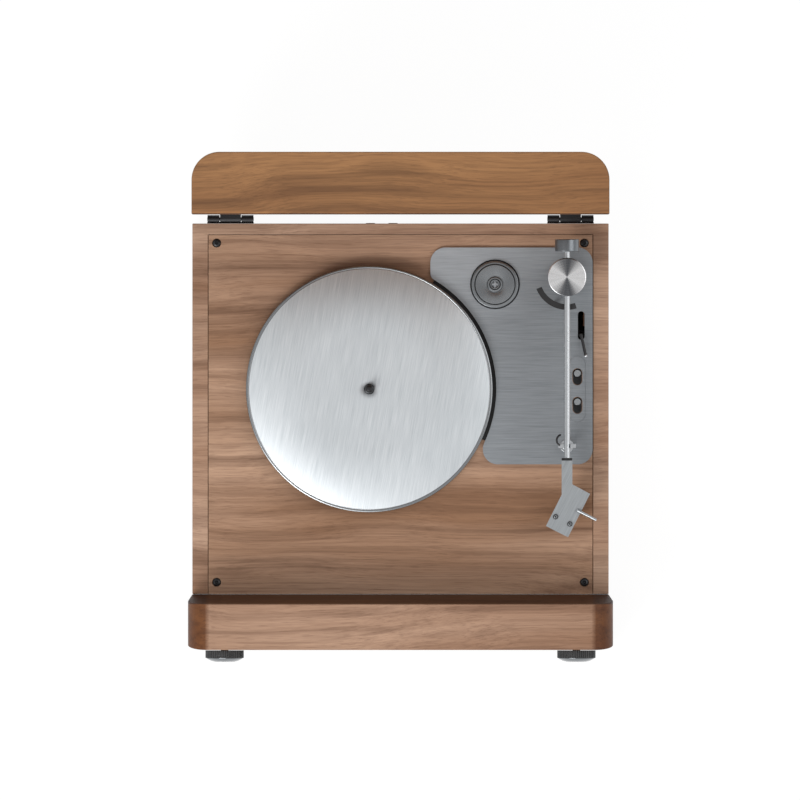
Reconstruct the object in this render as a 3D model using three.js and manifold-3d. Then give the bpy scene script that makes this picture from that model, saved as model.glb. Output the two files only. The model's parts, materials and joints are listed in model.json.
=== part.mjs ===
// A compact wooden record player with a front speaker box and a hinged wooden lid, shown open.
// Millimetres. +X to the player's right, +Y to its back, +Z up, origin under the middle of its box.
import * as THREE from 'three';
import { mergeVertices } from 'three/addons/utils/BufferGeometryUtils.js';
import Module from 'manifold-3d';

const wasm = await Module();
wasm.setup();

// Cabinet
const caseWidth = 333;
const deckDepth = 296.4;
const caseHeight = 66;
const caseRim = 12.5;
const rearRim = 8.8;
const ledgeWidth = 8;
const ledgeHeight = 10;
const shellWall = 9;
const bottomThick = 6;
const panelThick = 9;
const panelGap = 0.4;
const seat = 0.3;
const overrun = 5;
const fit = 0.05;
const socketWidth = 84;
const socketLow = -46;
const socketHigh = -24;
const reliefMargin = 3.5;
// Front speaker box
const frontOverlap = 3.5;
const frontWidth = caseWidth + 2 * frontOverlap;
const frontDepth = 44.8;
const frontRise = 50;
const frontRadius = 20;
const rakeRun = 8.2;
const sideStep = 5.4;
const cornerRun = 14.4;
const cornerDrop = 4;
const baffleThick = 9;
const speakerHole = 37;
const speakerShare = 0.2;
const speakerX = frontWidth * speakerShare;
const basketDepth = 14;
const basketShares = [[0, 0], [0.35, 0], [0.35, 0.21], [0.89, 0.64], [0.89, 0.86], [1.08, 0.86], [1.08, 1], [0.9, 1],
  [0.5, 0.43], [0, 0.36]];
const coneShares = [[0, 0.43], [0.2, 0.57], [0.42, 0.46], [0.84, 1.014], [0.84, 1.07], [0.42, 0.57], [0.2, 0.71],
  [0, 0.61]];
const wireWindow = 18;
const grilleInset = 52;
const grilleWidth = frontWidth - 2 * grilleInset;
const grilleHeight = 92;
const grilleThick = 2.6;
// Feet
const footRadius = 11;
const footHeight = 9;
const footInsetX = 26;
const footInsetY = 24;
const footEase = 1.5;
// Knobs
const knobInset = 29.3;
const knobX = frontWidth / 2 - knobInset;
const knobRadius = 15.4;
const knobRib = 0.7;
const knobRibs = 36;
const knobSkirt = 4.4;
const knobFace = 4.4;
const knobGap = 0.6;
const knobShaft = 3;
const potRadius = 9;
const potDepth = 15;
const potBoard = 1.6;
const potBoardHeight = 4.5;
const domeShares = [[0, 0], [1, 0], [0.95, 0.45], [0.75, 0.8], [0.52, 1], [0, 1]];
// Platter and its drive
const platterShare = -0.0751;
const platterX = caseWidth * platterShare;
const platterSizeShare = 0.2964;
const platterRadius = caseWidth * platterSizeShare;
const platterEdge = 33.7;
const platterBack = platterRadius + platterEdge;
const platterTop = 10;
const platterThick = 7;
const rimDrop = 1.2;
const spindleRadius = 3.6;
const spindleRise = 11;
const shaftRadius = 4;
const shaftDepth = 34;
const bushRadius = 9;
const bushFlange = 4;
const bushThick = 1.2;
const rimLip = 2;
const spindleStep = 1;
const spindleRound = 2.4;
const spindleShares = [[1, 0], [0.8, 0.62], [0.4, 1], [0, 1]];
const runningGap = 0.08;
const bushGap = 0.2;
const drumRadius = 38;
const drumThick = 7;
const drumDrop = 6;
const pulleyRadius = 5;
const motorShare = 0.1862;
const motorX = caseWidth * motorShare;
const motorAhead = 85.6;
const motorBack = platterBack + motorAhead;
const motorRadius = 17;
const motorHeight = 22;
const motorShaft = 1.5;
const motorPlate = 2;
const motorLip = 3;
const motorLegs = 3;
const motorTurn = 0.6;
const motorGap = 2;
const axleDepth = 7;
const beltThick = 1;
const beltWidth = 4;
// Control plate
const plateLeftShare = 0.0718;
const plateLeft = caseWidth * plateLeftShare;
const plateInset = 12.8;
const plateRight = caseWidth / 2 - plateInset;
const plateBack = 19.2;
const plateFrontShare = 0.65;
const plateFront = deckDepth * plateFrontShare;
const plateThick = 2.2;
const platterGap = 2.9;
const plateCut = platterRadius + platterGap;
const plateCorner = 12;
// Single adapter and its dish
const adapterShare = 0.227;
const adapterX = caseWidth * adapterShare;
const adapterBack = 48.7;
const adapterRadius = 18.8;
const adapterHeight = 4.2;
const dishRadius = 19.9;
const pegRadius = 2.6;
const pegNotch = 2;
const dishFloor = 1;
const adapterEase = 0.6;
const adapterRim = 2.2;
const adapterSlope = 1.2;
const adapterDip = 1.1;
// Tonearm
const armInset = 33.3;
const armX = caseWidth / 2 - armInset;
const armBack = 42.8;
const armHeight = 27.5;
const armShare = 0.4926;
const armLength = deckDepth * armShare;
const tubeRadius = 2.4;
const capRadius = 15.4;
const capThick = 4;
const baseRadius = 14;
const baseHeight = 12;
const yokeWidth = 22;
const yokeDepth = 15;
const yokeWall = 3;
const rodRadius = 1.5;
const weightRadius = 9.6;
const weightLength = 9.8;
const weightBack = 20.4;
const collarLength = 0.8;
const collarGrip = 1.2;
const postRadius = 6;
const postDepth = 8;
const baseShares = [[0, 0], [1, 0], [1, 0.07], [0.86, 0.15], [0.72, 1], [0, 1]];
const pivotRadius = 2;
const yokeAbove = 2;
const hubDepth = 8;
const hubDrop = 4;
const hubRise = 3.4;
const hubGap = 0.6;
const glueGap = 0.04;
const capEase = 0.5;
const stemWidth = 8.6;
const shellThick = 5;
const shellAngle = 27;
const cartridgeWidth = 15;
const cartridgeLength = 20;
const cartridgeHeight = 10;
const stylusDrop = 3;
const stylusRoot = 1.6;
const stylusTip = 0.35;
const stylusShare = 0.3;
const screwRadius = 1.4;
const screwHead = 0.7;
const screwPitch = 6.35;
const screwRise = 0.9;
const stemRun = 19;
const stemLong = 27.4;
const shoulderOut = 14.2;
const shoulderRun = 7.6;
const bladeWidth = 19.8;
const bladeLong = 39;
const toeBack = 14.5;
const screwToe = 10.1;
const liftToe = 16.5;
const liftInset = 3;
const fingerRadius = 1.15;
const fingerLength = 17;
const fingerRise = 1.25;
// Arm rest, lift and switches
const restInset = 10.8;
const restBack = armBack + armLength - restInset;
const restRadius = 3.4;
const restPin = 1.6;
const restFoot = 2;
const restFootThick = 1.6;
const jawWidth = 14;
const jawDepth = 3.2;
const jawDrop = 3;
const jawRise = 2.6;
const liftRadius = 24;
const liftWidth = 4.6;
const liftThick = 3;
const liftPost = 2;
const liftDrop = 6.3;
const liftAngle = -Math.PI / 2 - 0.42;
const liftFrom = -Math.PI / 2 - 1.2;
const liftTo = -Math.PI / 2 + 0.3;
const leverInsetX = 21.9;
const leverX = caseWidth / 2 - leverInsetX;
const slotShare = 0.2368;
const slotBack = deckDepth * slotShare;
const slotLength = 22.9;
const slotWidth = 5.4;
const leverLength = 17.6;
const leverInset = 3.4;
const leverDrop = 4;
const leverRise = 6.6;
const leverRod = 1.5;
const leverTip = 1.2;
const leverLean = 0.12;
const leverSwing = 0.22;
const axleRadius = 1.8;
const axleLeft = 9;
const axleRight = 8;
const camRadius = 3.4;
const camWidth = 3.2;
const earStart = 4.2;
const earThick = 3;
const earHalf = 4;
const strapThick = 3;
const inlayInset = 25;
const inlayX = caseWidth / 2 - inlayInset;
const inlayShare = 0.4467;
const inlayBack = deckDepth * inlayShare;
const inlayWidth = 12.5;
const inlayLength = 52.8;
const inlayThick = 0.6;
const buttonRadius = 2.7;
const buttonTravel = 5.6;
const buttonSteps = [-12.6, 10.2];
const buttonBacks = buttonSteps.map((step) => inlayBack + step);
const buttonRise = 1.2;
const buttonDepth = 2;
const buttonStem = 1;
const switchSlot = 8;
const switchWidth = 10;
const switchBack = 4;
const switchFront = 9;
const switchDeep = 9;
const switchWall = 1.4;
const switchRoom = 2.4;
// Lid and hinges
const lidOverlap = 0.7;
const lidWidth = caseWidth + 2 * lidOverlap;
const lidHeight = 50.2;
const lidRadius = 22.4;
const lidWall = 7;
const lidInnerRadius = 10;
const lidLift = 0.4;
const hingeInset = 30.5;
const hingeX = caseWidth / 2 - hingeInset;
const hingeLength = 37.2;
const barrelRadius = 3.2;
const pinRadius = 1.4;
const leafThick = 1.2;
const leafHeight = 20;
const knuckleShares = [0.27, 0.46, 0.27];
const knuckleGap = 0.4;
// Deck screws
const deckScrewInset = 19.4;
const deckScrewX = caseWidth / 2 - deckScrewInset;
const deckScrewEdges = [15.6, 9.4];
const deckScrewBacks = [deckScrewEdges[0], deckDepth - deckScrewEdges[1]];
const deckScrewHead = 3.3;
const deckScrewShares = [[0, 0], [1, 0], [0.8, 0.83], [0, 1]];
const deckScrewRise = 1.8;
// Parts inside the case
const boardShare = -0.36;
const boardInset = 26.4;
const boardWidth = 100;
const boardDepth = 80;
const boardThick = 1.6;
const boardRise = 5;
const standRadius = 2.5;
const standInset = 6;
const sinkPlace = [20, 60, 40, 48];
const sinkHeight = 28;
const chipPlaces = [[30, 15], [70, 20], [75, 60]];
const chipHalf = 7;
const chipHeight = 9;
const rearPlate = [1, 2];
const socketPlaces = [-24, -6];
const socketRadius = 5;
const socketRing = 3.6;
const socketBore = 1.4;
const socketDepth = 8;
const socketReach = 0.4;
const linkThick = 3;
const linkHalf = 2;
const inletX = 24;
const inletHalf = [7, 6];
const inletStep = 1.6;
const inletMouth = 3;

const reliefBack = slotBack + slotLength - leverInset - earHalf - reliefMargin;
const reliefFront = buttonBacks[1] + switchFront + reliefMargin;
const deckZ = footHeight + caseHeight;
const frontRoot = deckDepth + seat;
const frontFace = deckDepth + frontDepth;
const pinBack = -barrelRadius - panelGap;
const lidBack = pinBack - barrelRadius - lidLift - lidHeight;
const knobReach = frontFace + knobGap + knobSkirt + knobFace;
const rearY = (knobReach + lidBack) / 2;
const pinZ = -barrelRadius;
const deckScrewLow = seat - deckScrewRise - fit;
const yokeLow = plateThick + baseHeight + fit;

const colours = {
  walnut: [0xa07a5c, 0.55, 0],
  darkPlastic: [0x1b1b1c, 0.5, 0],
  aluminium: [0xc2c5c8, 0.35, 1],
  brushed: [0x8d9194, 0.4, 1],
  steel: [0xb9bcc0, 0.25, 1],
  rubber: [0x141414, 0.9, 0],
  cloth: [0x3a352f, 0.95, 0],
  board: [0x2c5a3c, 0.6, 0],
  brass: [0xb9975a, 0.35, 1],
  paper: [0x26262a, 0.8, 0],
};

const model = new THREE.Group();
const deck = new THREE.Group();
deck.position.set(0, rearY, deckZ);
model.add(deck);

function bare(geometry) {
  const clean = geometry.clone();
  clean.deleteAttribute('normal');
  clean.deleteAttribute('uv');
  return mergeVertices(clean);
}

function solid(geometry) {
  const merged = bare(geometry);
  const vertProperties = new Float32Array(merged.attributes.position.array);
  const triVerts = new Uint32Array(merged.index.array);
  return new wasm.Manifold(new wasm.Mesh({ numProp: 3, vertProperties, triVerts }));
}

function shaped(manifold) {
  const mesh = manifold.getMesh();
  const geometry = new THREE.BufferGeometry();
  geometry.setAttribute('position', new THREE.Float32BufferAttribute(mesh.vertProperties, 3));
  geometry.setIndex(Array.from(mesh.triVerts));
  return geometry;
}

function cut(body, ...tools) {
  return shaped(tools.reduce((rest, tool) => rest.subtract(solid(tool)), solid(body)));
}

function join(body, ...more) {
  return shaped(more.reduce((whole, piece) => whole.add(solid(piece)), solid(body)));
}

function common(body, other) {
  return shaped(solid(body).intersect(solid(other)));
}

// A box between two corners.
function block(x0, x1, y0, y1, z0, z1) {
  const geometry = new THREE.BoxGeometry(x1 - x0, y1 - y0, z1 - z0);
  return geometry.translate((x0 + x1) / 2, (y0 + y1) / 2, (z0 + z1) / 2);
}

// An upright round bar from z0 to z1.
function rod(radius, z0, z1, x = 0, y = 0, sides = 24) {
  const geometry = new THREE.CylinderGeometry(radius, radius, z1 - z0, sides);
  return geometry.rotateX(Math.PI / 2).translate(x, y, (z0 + z1) / 2);
}

// A round bar along X.
function barX(radius, x0, x1, y, z, sides = 16) {
  return rod(radius, x0, x1, 0, 0, sides).rotateY(Math.PI / 2).translate(0, y, z);
}

// A round bar along Y.
function barY(radius, y0, y1, x, z, sides = 24) {
  return rod(radius, y0, y1, 0, 0, sides).rotateX(-Math.PI / 2).translate(x, 0, z);
}

// A turned solid from points [radius, height] that start and end on the axis.
function turned(points, sides = 32) {
  const profile = points.map(([radius, height]) => new THREE.Vector2(radius, height));
  return new THREE.LatheGeometry(profile, sides).rotateX(Math.PI / 2);
}

// A turned profile from shares of a radius and of a height.
function scaled(shares, radius, height, low = 0) {
  return shares.map(([across, up]) => [across * radius, low + up * height]);
}

function extruded(shape, depth, curveSegments = 10) {
  return new THREE.ExtrudeGeometry(shape, { depth, bevelEnabled: false, curveSegments });
}

function stadium(width, length) {
  const shape = new THREE.Shape();
  const radius = width / 2;
  const half = length / 2 - radius;
  shape.absarc(0, half, radius, 0, Math.PI, false);
  shape.absarc(0, -half, radius, Math.PI, 2 * Math.PI, false);
  shape.closePath();
  return shape;
}

function polygon(points) {
  const shape = new THREE.Shape();
  points.forEach(([x, y], i) => (i ? shape.lineTo(x, y) : shape.moveTo(x, y)));
  shape.closePath();
  return shape;
}

function place(name, geometry, colour, parent = deck) {
  const [hex, roughness, metalness] = colours[colour];
  const material = new THREE.MeshStandardMaterial({ color: hex, roughness, metalness });
  const flat = geometry.index ? geometry : bare(geometry);
  flat.computeVertexNormals();
  const mesh = new THREE.Mesh(flat, material);
  mesh.name = name;
  parent.add(mesh);
  return mesh;
}

// The end view of the speaker box or the lid: upright sides and two rounded top corners.
function archShape(width, low, high, radius) {
  const half = width / 2;
  const shape = new THREE.Shape();
  shape.moveTo(-half, low);
  shape.lineTo(half, low);
  shape.lineTo(half, high - radius);
  shape.absarc(half - radius, high - radius, radius, 0, Math.PI / 2, false);
  shape.absarc(radius - half, high - radius, radius, Math.PI / 2, Math.PI, false);
  shape.closePath();
  return shape;
}

// An arch drawn in X and Z and drawn out from y0 back to y1.
function arch(width, low, high, radius, y0, y1) {
  const geometry = extruded(archShape(width, low, high, radius), y1 - y0, 8);
  return geometry.rotateX(Math.PI / 2).translate(0, y1, 0);
}

function makeCase() {
  const half = caseWidth / 2;
  const inner = half - caseRim;
  const low = -caseHeight;
  const ledgeLow = -panelThick - panelGap - ledgeHeight;
  const front = -deckDepth;
  const outer = block(-half, half, front, 0, low, 0);
  const recess = block(-inner, inner, front - overrun, -rearRim, -panelThick - panelGap, overrun);
  const ledge = inner - ledgeWidth;
  const well = block(-ledge, ledge, front - overrun, -rearRim - ledgeWidth, low - overrun, overrun);
  const side = half - shellWall;
  const hollow = block(-side, side, front - overrun, -shellWall, low - overrun, ledgeLow);
  const sockets = block(-socketWidth / 2, socketWidth / 2, -shellWall - overrun, overrun, socketLow, socketHigh);
  const relief = block(ledge - overrun, inner, -reliefFront, -reliefBack, ledgeLow - overrun, 0);
  const screws = deckScrewPlaces().map(([x, y]) => rod(screwRadius + seat, ledgeLow - overrun, overrun, x, y, 8));
  place('cabinet_case', cut(outer, recess, well, hollow, sockets, relief, ...screws), 'walnut');
  const base = block(-side + seat, side - seat, front, -shellWall - seat, low, low + bottomThick);
  place('bottom_panel', base, 'darkPlastic');
}

function deckScrewPlaces() {
  return deckScrewBacks.flatMap((back) => [[-deckScrewX, -back], [deckScrewX, -back]]);
}

function makeDeckPanel() {
  const half = caseWidth / 2 - caseRim - panelGap;
  const board = block(-half, half, -deckDepth, -rearRim - panelGap, -panelThick, 0);
  const holes = deckScrewPlaces().map(([x, y]) => rod(screwRadius + seat, -panelThick - overrun, overrun, x, y, 8));
  const bearing = rod(bushRadius + seat, -panelThick - overrun, overrun, platterX, -platterBack);
  const armHole = rod(postRadius + seat, -panelThick - overrun, overrun, armX, -armBack);
  const slot = extruded(stadium(slotWidth, slotLength), panelThick + 2 * overrun, 5);
  slot.translate(leverX, -slotBack - slotLength / 2, -panelThick - overrun);
  const pins = buttonBacks.map((back) => buttonSlot(switchSlot - 2 * panelGap, -panelThick - overrun, overrun, back));
  const lift = rod(liftPost + seat, -panelThick - overrun, overrun, ...liftPostPlace(), 12);
  const rest = rod(restPin + seat, -panelThick - overrun, overrun, armX, -restBack, 12);
  const seats = deckScrewPlaces().map(([x, y]) => rod(deckScrewHead + panelGap, deckScrewLow - fit, overrun, x, y, 16));
  place('deck_panel', cut(board, ...holes, ...seats, bearing, armHole, slot, ...pins, lift, rest), 'walnut');
  const screw = ([x, y]) => {
    const head = turned(scaled(deckScrewShares, deckScrewHead, deckScrewRise, deckScrewLow), 12);
    const shank = rod(screwRadius, -panelThick - ledgeHeight, deckScrewLow + seat, 0, 0, 8);
    return join(head, shank).translate(x, y, 0);
  };
  deckScrewPlaces().forEach((at, i) => place(`deck_screw_${i + 1}`, screw(at), 'darkPlastic'));
}

function liftPostPlace() {
  return [armX + liftRadius * Math.cos(liftAngle), -armBack + liftRadius * Math.sin(liftAngle)];
}

function buttonSlot(width, z0, z1, back) {
  const slot = extruded(stadium(width, width + buttonTravel), z1 - z0, 5);
  return slot.translate(inlayX, -back - buttonTravel / 2, z0);
}

// The outline of the speaker box from above: wider than the case, its front corners eased.
function frontPlan() {
  const half = frontWidth / 2;
  const rear = caseWidth / 2;
  const shape = new THREE.Shape();
  shape.moveTo(-rear, -frontRoot);
  shape.lineTo(-half, -frontRoot - sideStep);
  shape.lineTo(-half, -frontFace + cornerDrop);
  shape.absellipse(cornerRun - half, -frontFace + cornerDrop, cornerRun, cornerDrop, Math.PI, 1.5 * Math.PI, false);
  shape.absellipse(half - cornerRun, -frontFace + cornerDrop, cornerRun, cornerDrop, 1.5 * Math.PI, 0, false);
  shape.lineTo(half, -frontRoot - sideStep);
  shape.lineTo(rear, -frontRoot);
  shape.closePath();
  return shape;
}

function speakerZ() {
  return (frontRise - caseHeight) / 2;
}

function makeFront() {
  const low = -caseHeight;
  const bar = arch(frontWidth, low, frontRise, frontRadius, -frontFace - overrun, -frontRoot + overrun);
  const plan = extruded(frontPlan(), caseHeight + frontRise + 2 * overrun, 6).translate(0, 0, low - overrun);
  const rake = extruded(polygon([[0, 0], [0, 2 * frontRise], [-2 * rakeRun, 2 * frontRise]]), frontWidth + 2 * overrun);
  rake.rotateX(Math.PI / 2).rotateZ(Math.PI / 2).translate(-frontWidth / 2 - overrun, -frontRoot, 0);
  const inner = frontWidth / 2 - frontRadius;
  const room = block(-inner, inner, -frontFace + baffleThick, -frontRoot - shellWall - rakeRun,
    low + shellWall, frontRise - shellWall);
  const window = block(-speakerX, speakerX, -frontRoot - shellWall - rakeRun - overrun, -frontRoot + overrun,
    low + shellWall, low + shellWall + wireWindow);
  const z = speakerZ();
  const through = -frontFace + baffleThick + overrun;
  const hole = (radius, sides) => (x) => barY(radius, -frontFace - overrun, through, x, z, sides);
  const holes = [-speakerX, speakerX].map(hole(speakerHole, 32));
  const shafts = [-knobX, knobX].map(hole(knobShaft + seat, 12));
  const half = grilleWidth / 2 + panelGap;
  const tall = grilleHeight / 2 + panelGap;
  const recess = block(-half, half, -frontFace - overrun, -frontFace + grilleThick + panelGap, z - tall, z + tall);
  const body = common(bar, plan);
  place('speaker_box', cut(body, rake, room, window, ...holes, ...shafts, recess), 'walnut');
  const cloth = block(-grilleWidth / 2, grilleWidth / 2, -frontFace + panelGap, -frontFace + grilleThick,
    z - grilleHeight / 2, z + grilleHeight / 2);
  place('speaker_grille', cloth, 'cloth');
}

function makeSpeakers() {
  const back = -frontFace + baffleThick + basketDepth + fit;
  for (const [side, x] of [['left', -speakerX], ['right', speakerX]]) {
    const ring = turned(scaled(basketShares, speakerHole, basketDepth), 24);
    place(`speaker_frame_${side}`, ring.rotateX(Math.PI / 2).translate(x, back, speakerZ()), 'steel');
    const cone = turned(scaled(coneShares, speakerHole, basketDepth), 24);
    place(`speaker_cone_${side}`, cone.rotateX(Math.PI / 2).translate(x, back, speakerZ()), 'paper');
  }
}

function makeKnobs() {
  const z = speakerZ();
  const face = -frontFace - knobGap;
  const pots = [];
  for (const [name, x] of [['volume', -knobX], ['source', knobX]]) {
    const points = [];
    for (let i = 0; i < 2 * knobRibs; i += 1) {
      const radius = i % 2 ? knobRadius - knobRib : knobRadius;
      const angle = (i * Math.PI) / knobRibs;
      points.push([radius * Math.cos(angle), radius * Math.sin(angle)]);
    }
    const skirt = extruded(polygon(points), knobSkirt).rotateX(Math.PI / 2).translate(x, face, z);
    const end = -frontFace + baffleThick;
    const shaft = barY(knobShaft, face - knobRib, end - fit, x, z, 12);
    place(`${name}_knob`, join(skirt, shaft), 'darkPlastic');
    const dome = turned(scaled(domeShares, knobRadius - knobRib, knobFace), 32);
    place(`${name}_knob_cap`, dome.rotateX(Math.PI / 2).translate(x, face - knobSkirt - fit, z), 'steel');
    pots.push(barY(potRadius, end + fit, end + potDepth, x, z, 16));
  }
  const rear = -frontFace + baffleThick + potDepth;
  const board = block(-knobX, knobX, rear - fit, rear + potBoard, z - potBoardHeight, z + potBoardHeight);
  place('control_board', join(board, ...pots), 'board');
}

function makePlatter() {
  const x = platterX;
  const y = -platterBack;
  const low = platterTop - platterThick;
  const disc = turned([[0, low], [platterRadius - rimLip, low], [platterRadius, low + rimDrop],
    [platterRadius, platterTop - rimDrop / 2], [platterRadius - rimDrop / 2, platterTop], [0, platterTop]], 96);
  const bore = rod(shaftRadius + fit, low - overrun, platterTop + overrun, 0, 0, 16);
  place('platter', cut(disc, bore).translate(x, y, 0), 'aluminium');
  const tip = platterTop + spindleRise;
  const spindle = turned([[0, -shaftDepth], [shaftRadius, -shaftDepth], [shaftRadius, platterTop - spindleStep],
    [spindleRadius, platterTop], ...scaled(spindleShares, spindleRadius, spindleRound, tip - spindleRound)], 16);
  place('platter_spindle', spindle.translate(x, y, 0), 'darkPlastic');
  const drumHigh = -panelThick - drumDrop;
  const drum = rod(drumRadius, drumHigh - drumThick, drumHigh, 0, 0, 40);
  const drumBore = rod(shaftRadius + fit, -shaftDepth - overrun, overrun, 0, 0, 16);
  place('drive_drum', cut(drum, drumBore).translate(x, y, 0), 'darkPlastic');
  const bush = turned([[0, drumHigh + panelGap], [bushRadius, drumHigh + panelGap], [bushRadius, fit],
    [bushRadius + bushFlange, fit], [bushRadius + bushFlange, bushThick], [0, bushThick]], 24);
  const bushBore = rod(shaftRadius + bushGap, -shaftDepth - overrun, overrun, 0, 0, 24);
  place('platter_bearing', cut(bush, bushBore).translate(x, y, 0), 'brass');
}

function makeDrive() {
  const at = [motorX, -motorBack];
  const top = -panelThick - fit;
  const high = -panelThick - drumDrop;
  const canHigh = high - drumThick - motorGap;
  const bracket = rod(motorRadius + motorLip, top - motorPlate, top, ...at, 24);
  const can = rod(motorRadius, canHigh - motorHeight, canHigh, ...at, 24);
  const legs = Array.from({ length: motorLegs }, (_, i) => {
    const angle = motorTurn + (i * 2 * Math.PI) / motorLegs;
    const reach = motorRadius - motorPlate;
    const [x, y] = [motorX + reach * Math.cos(angle), -motorBack + reach * Math.sin(angle)];
    return rod(motorPlate, canHigh - motorPlate, top - fit, x, y, 8);
  });
  const shaft = rod(motorShaft + runningGap, canHigh - axleDepth, overrun, ...at, 12);
  place('drive_motor', cut(join(can, bracket, ...legs), shaft), 'steel');
  const axle = rod(motorShaft, canHigh - axleDepth + motorGap, high, ...at, 12);
  const wheel = rod(pulleyRadius, high - drumThick, high, ...at, 20);
  place('motor_pulley', join(axle, wheel), 'brass');
  const mid = high - (drumThick + beltWidth) / 2;
  const inner = beltLoop(fit).scale(1, 1, 3).translate(0, 0, -beltWidth);
  place('drive_belt', cut(beltLoop(fit + beltThick), inner).translate(0, 0, mid), 'rubber');
}

// The outline of the belt round the drum and the pulley, standing off them by grow.
function beltLoop(grow) {
  const drum = new THREE.Vector2(platterX, -platterBack);
  const pulley = new THREE.Vector2(motorX, -motorBack);
  const drumRun = drumRadius + grow;
  const pulleyRun = pulleyRadius + grow;
  const along = Math.atan2(pulley.y - drum.y, pulley.x - drum.x);
  const lean = Math.acos((drumRun - pulleyRun) / drum.distanceTo(pulley));
  const shape = new THREE.Shape();
  shape.absarc(drum.x, drum.y, drumRun, along + lean, along - lean + 2 * Math.PI, false);
  shape.absarc(pulley.x, pulley.y, pulleyRun, along - lean, along + lean, false);
  shape.closePath();
  return extruded(shape, beltWidth, 20);
}

// The brushed plate: square corners eased, and its left side hollowed round the platter.
function plateShape() {
  const r = plateCorner;
  const ease = plateCorner / 2;
  const cx = platterX;
  const cy = -platterBack;
  const neck = Math.asin((plateLeft + ease - cx) / (plateCut + ease));
  const top = new THREE.Vector2(cx + (plateCut + ease) * Math.sin(neck), cy + (plateCut + ease) * Math.cos(neck));
  const lowY = -plateFront + r;
  const low = new THREE.Vector2(cx + Math.sqrt((plateCut + r) ** 2 - (lowY - cy) ** 2), lowY);
  const turn = Math.PI / 2 - neck;
  const end = Math.atan2(low.y - cy, low.x - cx);
  const shape = new THREE.Shape();
  shape.moveTo(plateRight, -plateBack - r);
  shape.absarc(plateRight - r, -plateBack - r, r, 0, Math.PI / 2, false);
  shape.absarc(plateLeft + r, -plateBack - r, r, Math.PI / 2, Math.PI, false);
  shape.absarc(top.x, top.y, ease, Math.PI, Math.PI + turn, false);
  shape.absarc(cx, cy, plateCut, turn, end, true);
  shape.absarc(low.x, low.y, r, end + Math.PI, 1.5 * Math.PI, false);
  shape.absarc(plateRight - r, -plateFront + r, r, 1.5 * Math.PI, 2 * Math.PI, false);
  shape.closePath();
  return shape;
}

function makePlate() {
  const plate = extruded(plateShape(), plateThick - fit, 10).translate(0, 0, fit);
  const dish = rod(dishRadius, dishFloor, overrun, adapterX, -adapterBack, 32);
  const armHole = rod(postRadius + seat, -overrun, overrun, armX, -armBack);
  const slot = extruded(stadium(slotWidth, slotLength), 2 * overrun, 5);
  slot.translate(leverX, -slotBack - slotLength / 2, -overrun);
  const inlay = extruded(stadium(inlayWidth + seat, inlayLength + seat), overrun, 6);
  inlay.translate(inlayX, -inlayBack, plateThick - inlayThick - seat / 2);
  const pins = buttonBacks.map((back) => buttonSlot(switchSlot, -overrun, overrun, back));
  const lift = rod(liftPost + seat, -overrun, overrun, ...liftPostPlace(), 12);
  const rest = rod(restPin + seat, -overrun, overrun, armX, -restBack, 12);
  const body = cut(plate, dish, armHole, slot, inlay, ...pins, lift, rest);
  place('control_plate', join(body, adapterPeg()), 'brushed');
  const strip = extruded(stadium(inlayWidth, inlayLength), inlayThick, 6);
  strip.translate(inlayX, -inlayBack, plateThick - inlayThick);
  const holes = buttonBacks.map((back) => buttonSlot(switchSlot, -overrun, overrun, back));
  place('switch_strip', cut(strip, ...holes), 'brushed');
}

// The peg in the dish that the single adapter sits on, split into a cross at its top.
function adapterPeg() {
  const high = dishFloor + adapterHeight;
  const notches = [0, 1, 2, 3].map((i) => {
    const angle = Math.PI / 4 + (i * Math.PI) / 2;
    const [x, y] = [pegRadius * Math.cos(angle), pegRadius * Math.sin(angle)];
    return rod(pegRadius / 2, high - pegNotch, high + overrun, x, y, 8);
  });
  const peg = rod(pegRadius, dishFloor - seat, high, 0, 0, 16);
  return cut(peg, ...notches).translate(adapterX, -adapterBack, 0);
}

function makeAdapter() {
  const low = dishFloor + fit;
  const high = low + adapterHeight;
  const r = adapterRadius;
  const flat = r - adapterRim;
  const ring = turned([[0, low], [r, low], [r, high - adapterEase], [r - adapterEase, high], [flat, high],
    [flat - adapterSlope, high - adapterDip], [2 * pegRadius, high - adapterEase], [2 * pegRadius - adapterEase, high],
    [0, high]], 36);
  const bore = rod(pegRadius + runningGap, -overrun, high + overrun, 0, 0, 16);
  place('single_adapter', cut(ring, bore).translate(adapterX, -adapterBack, 0), 'aluminium');
}

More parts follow.
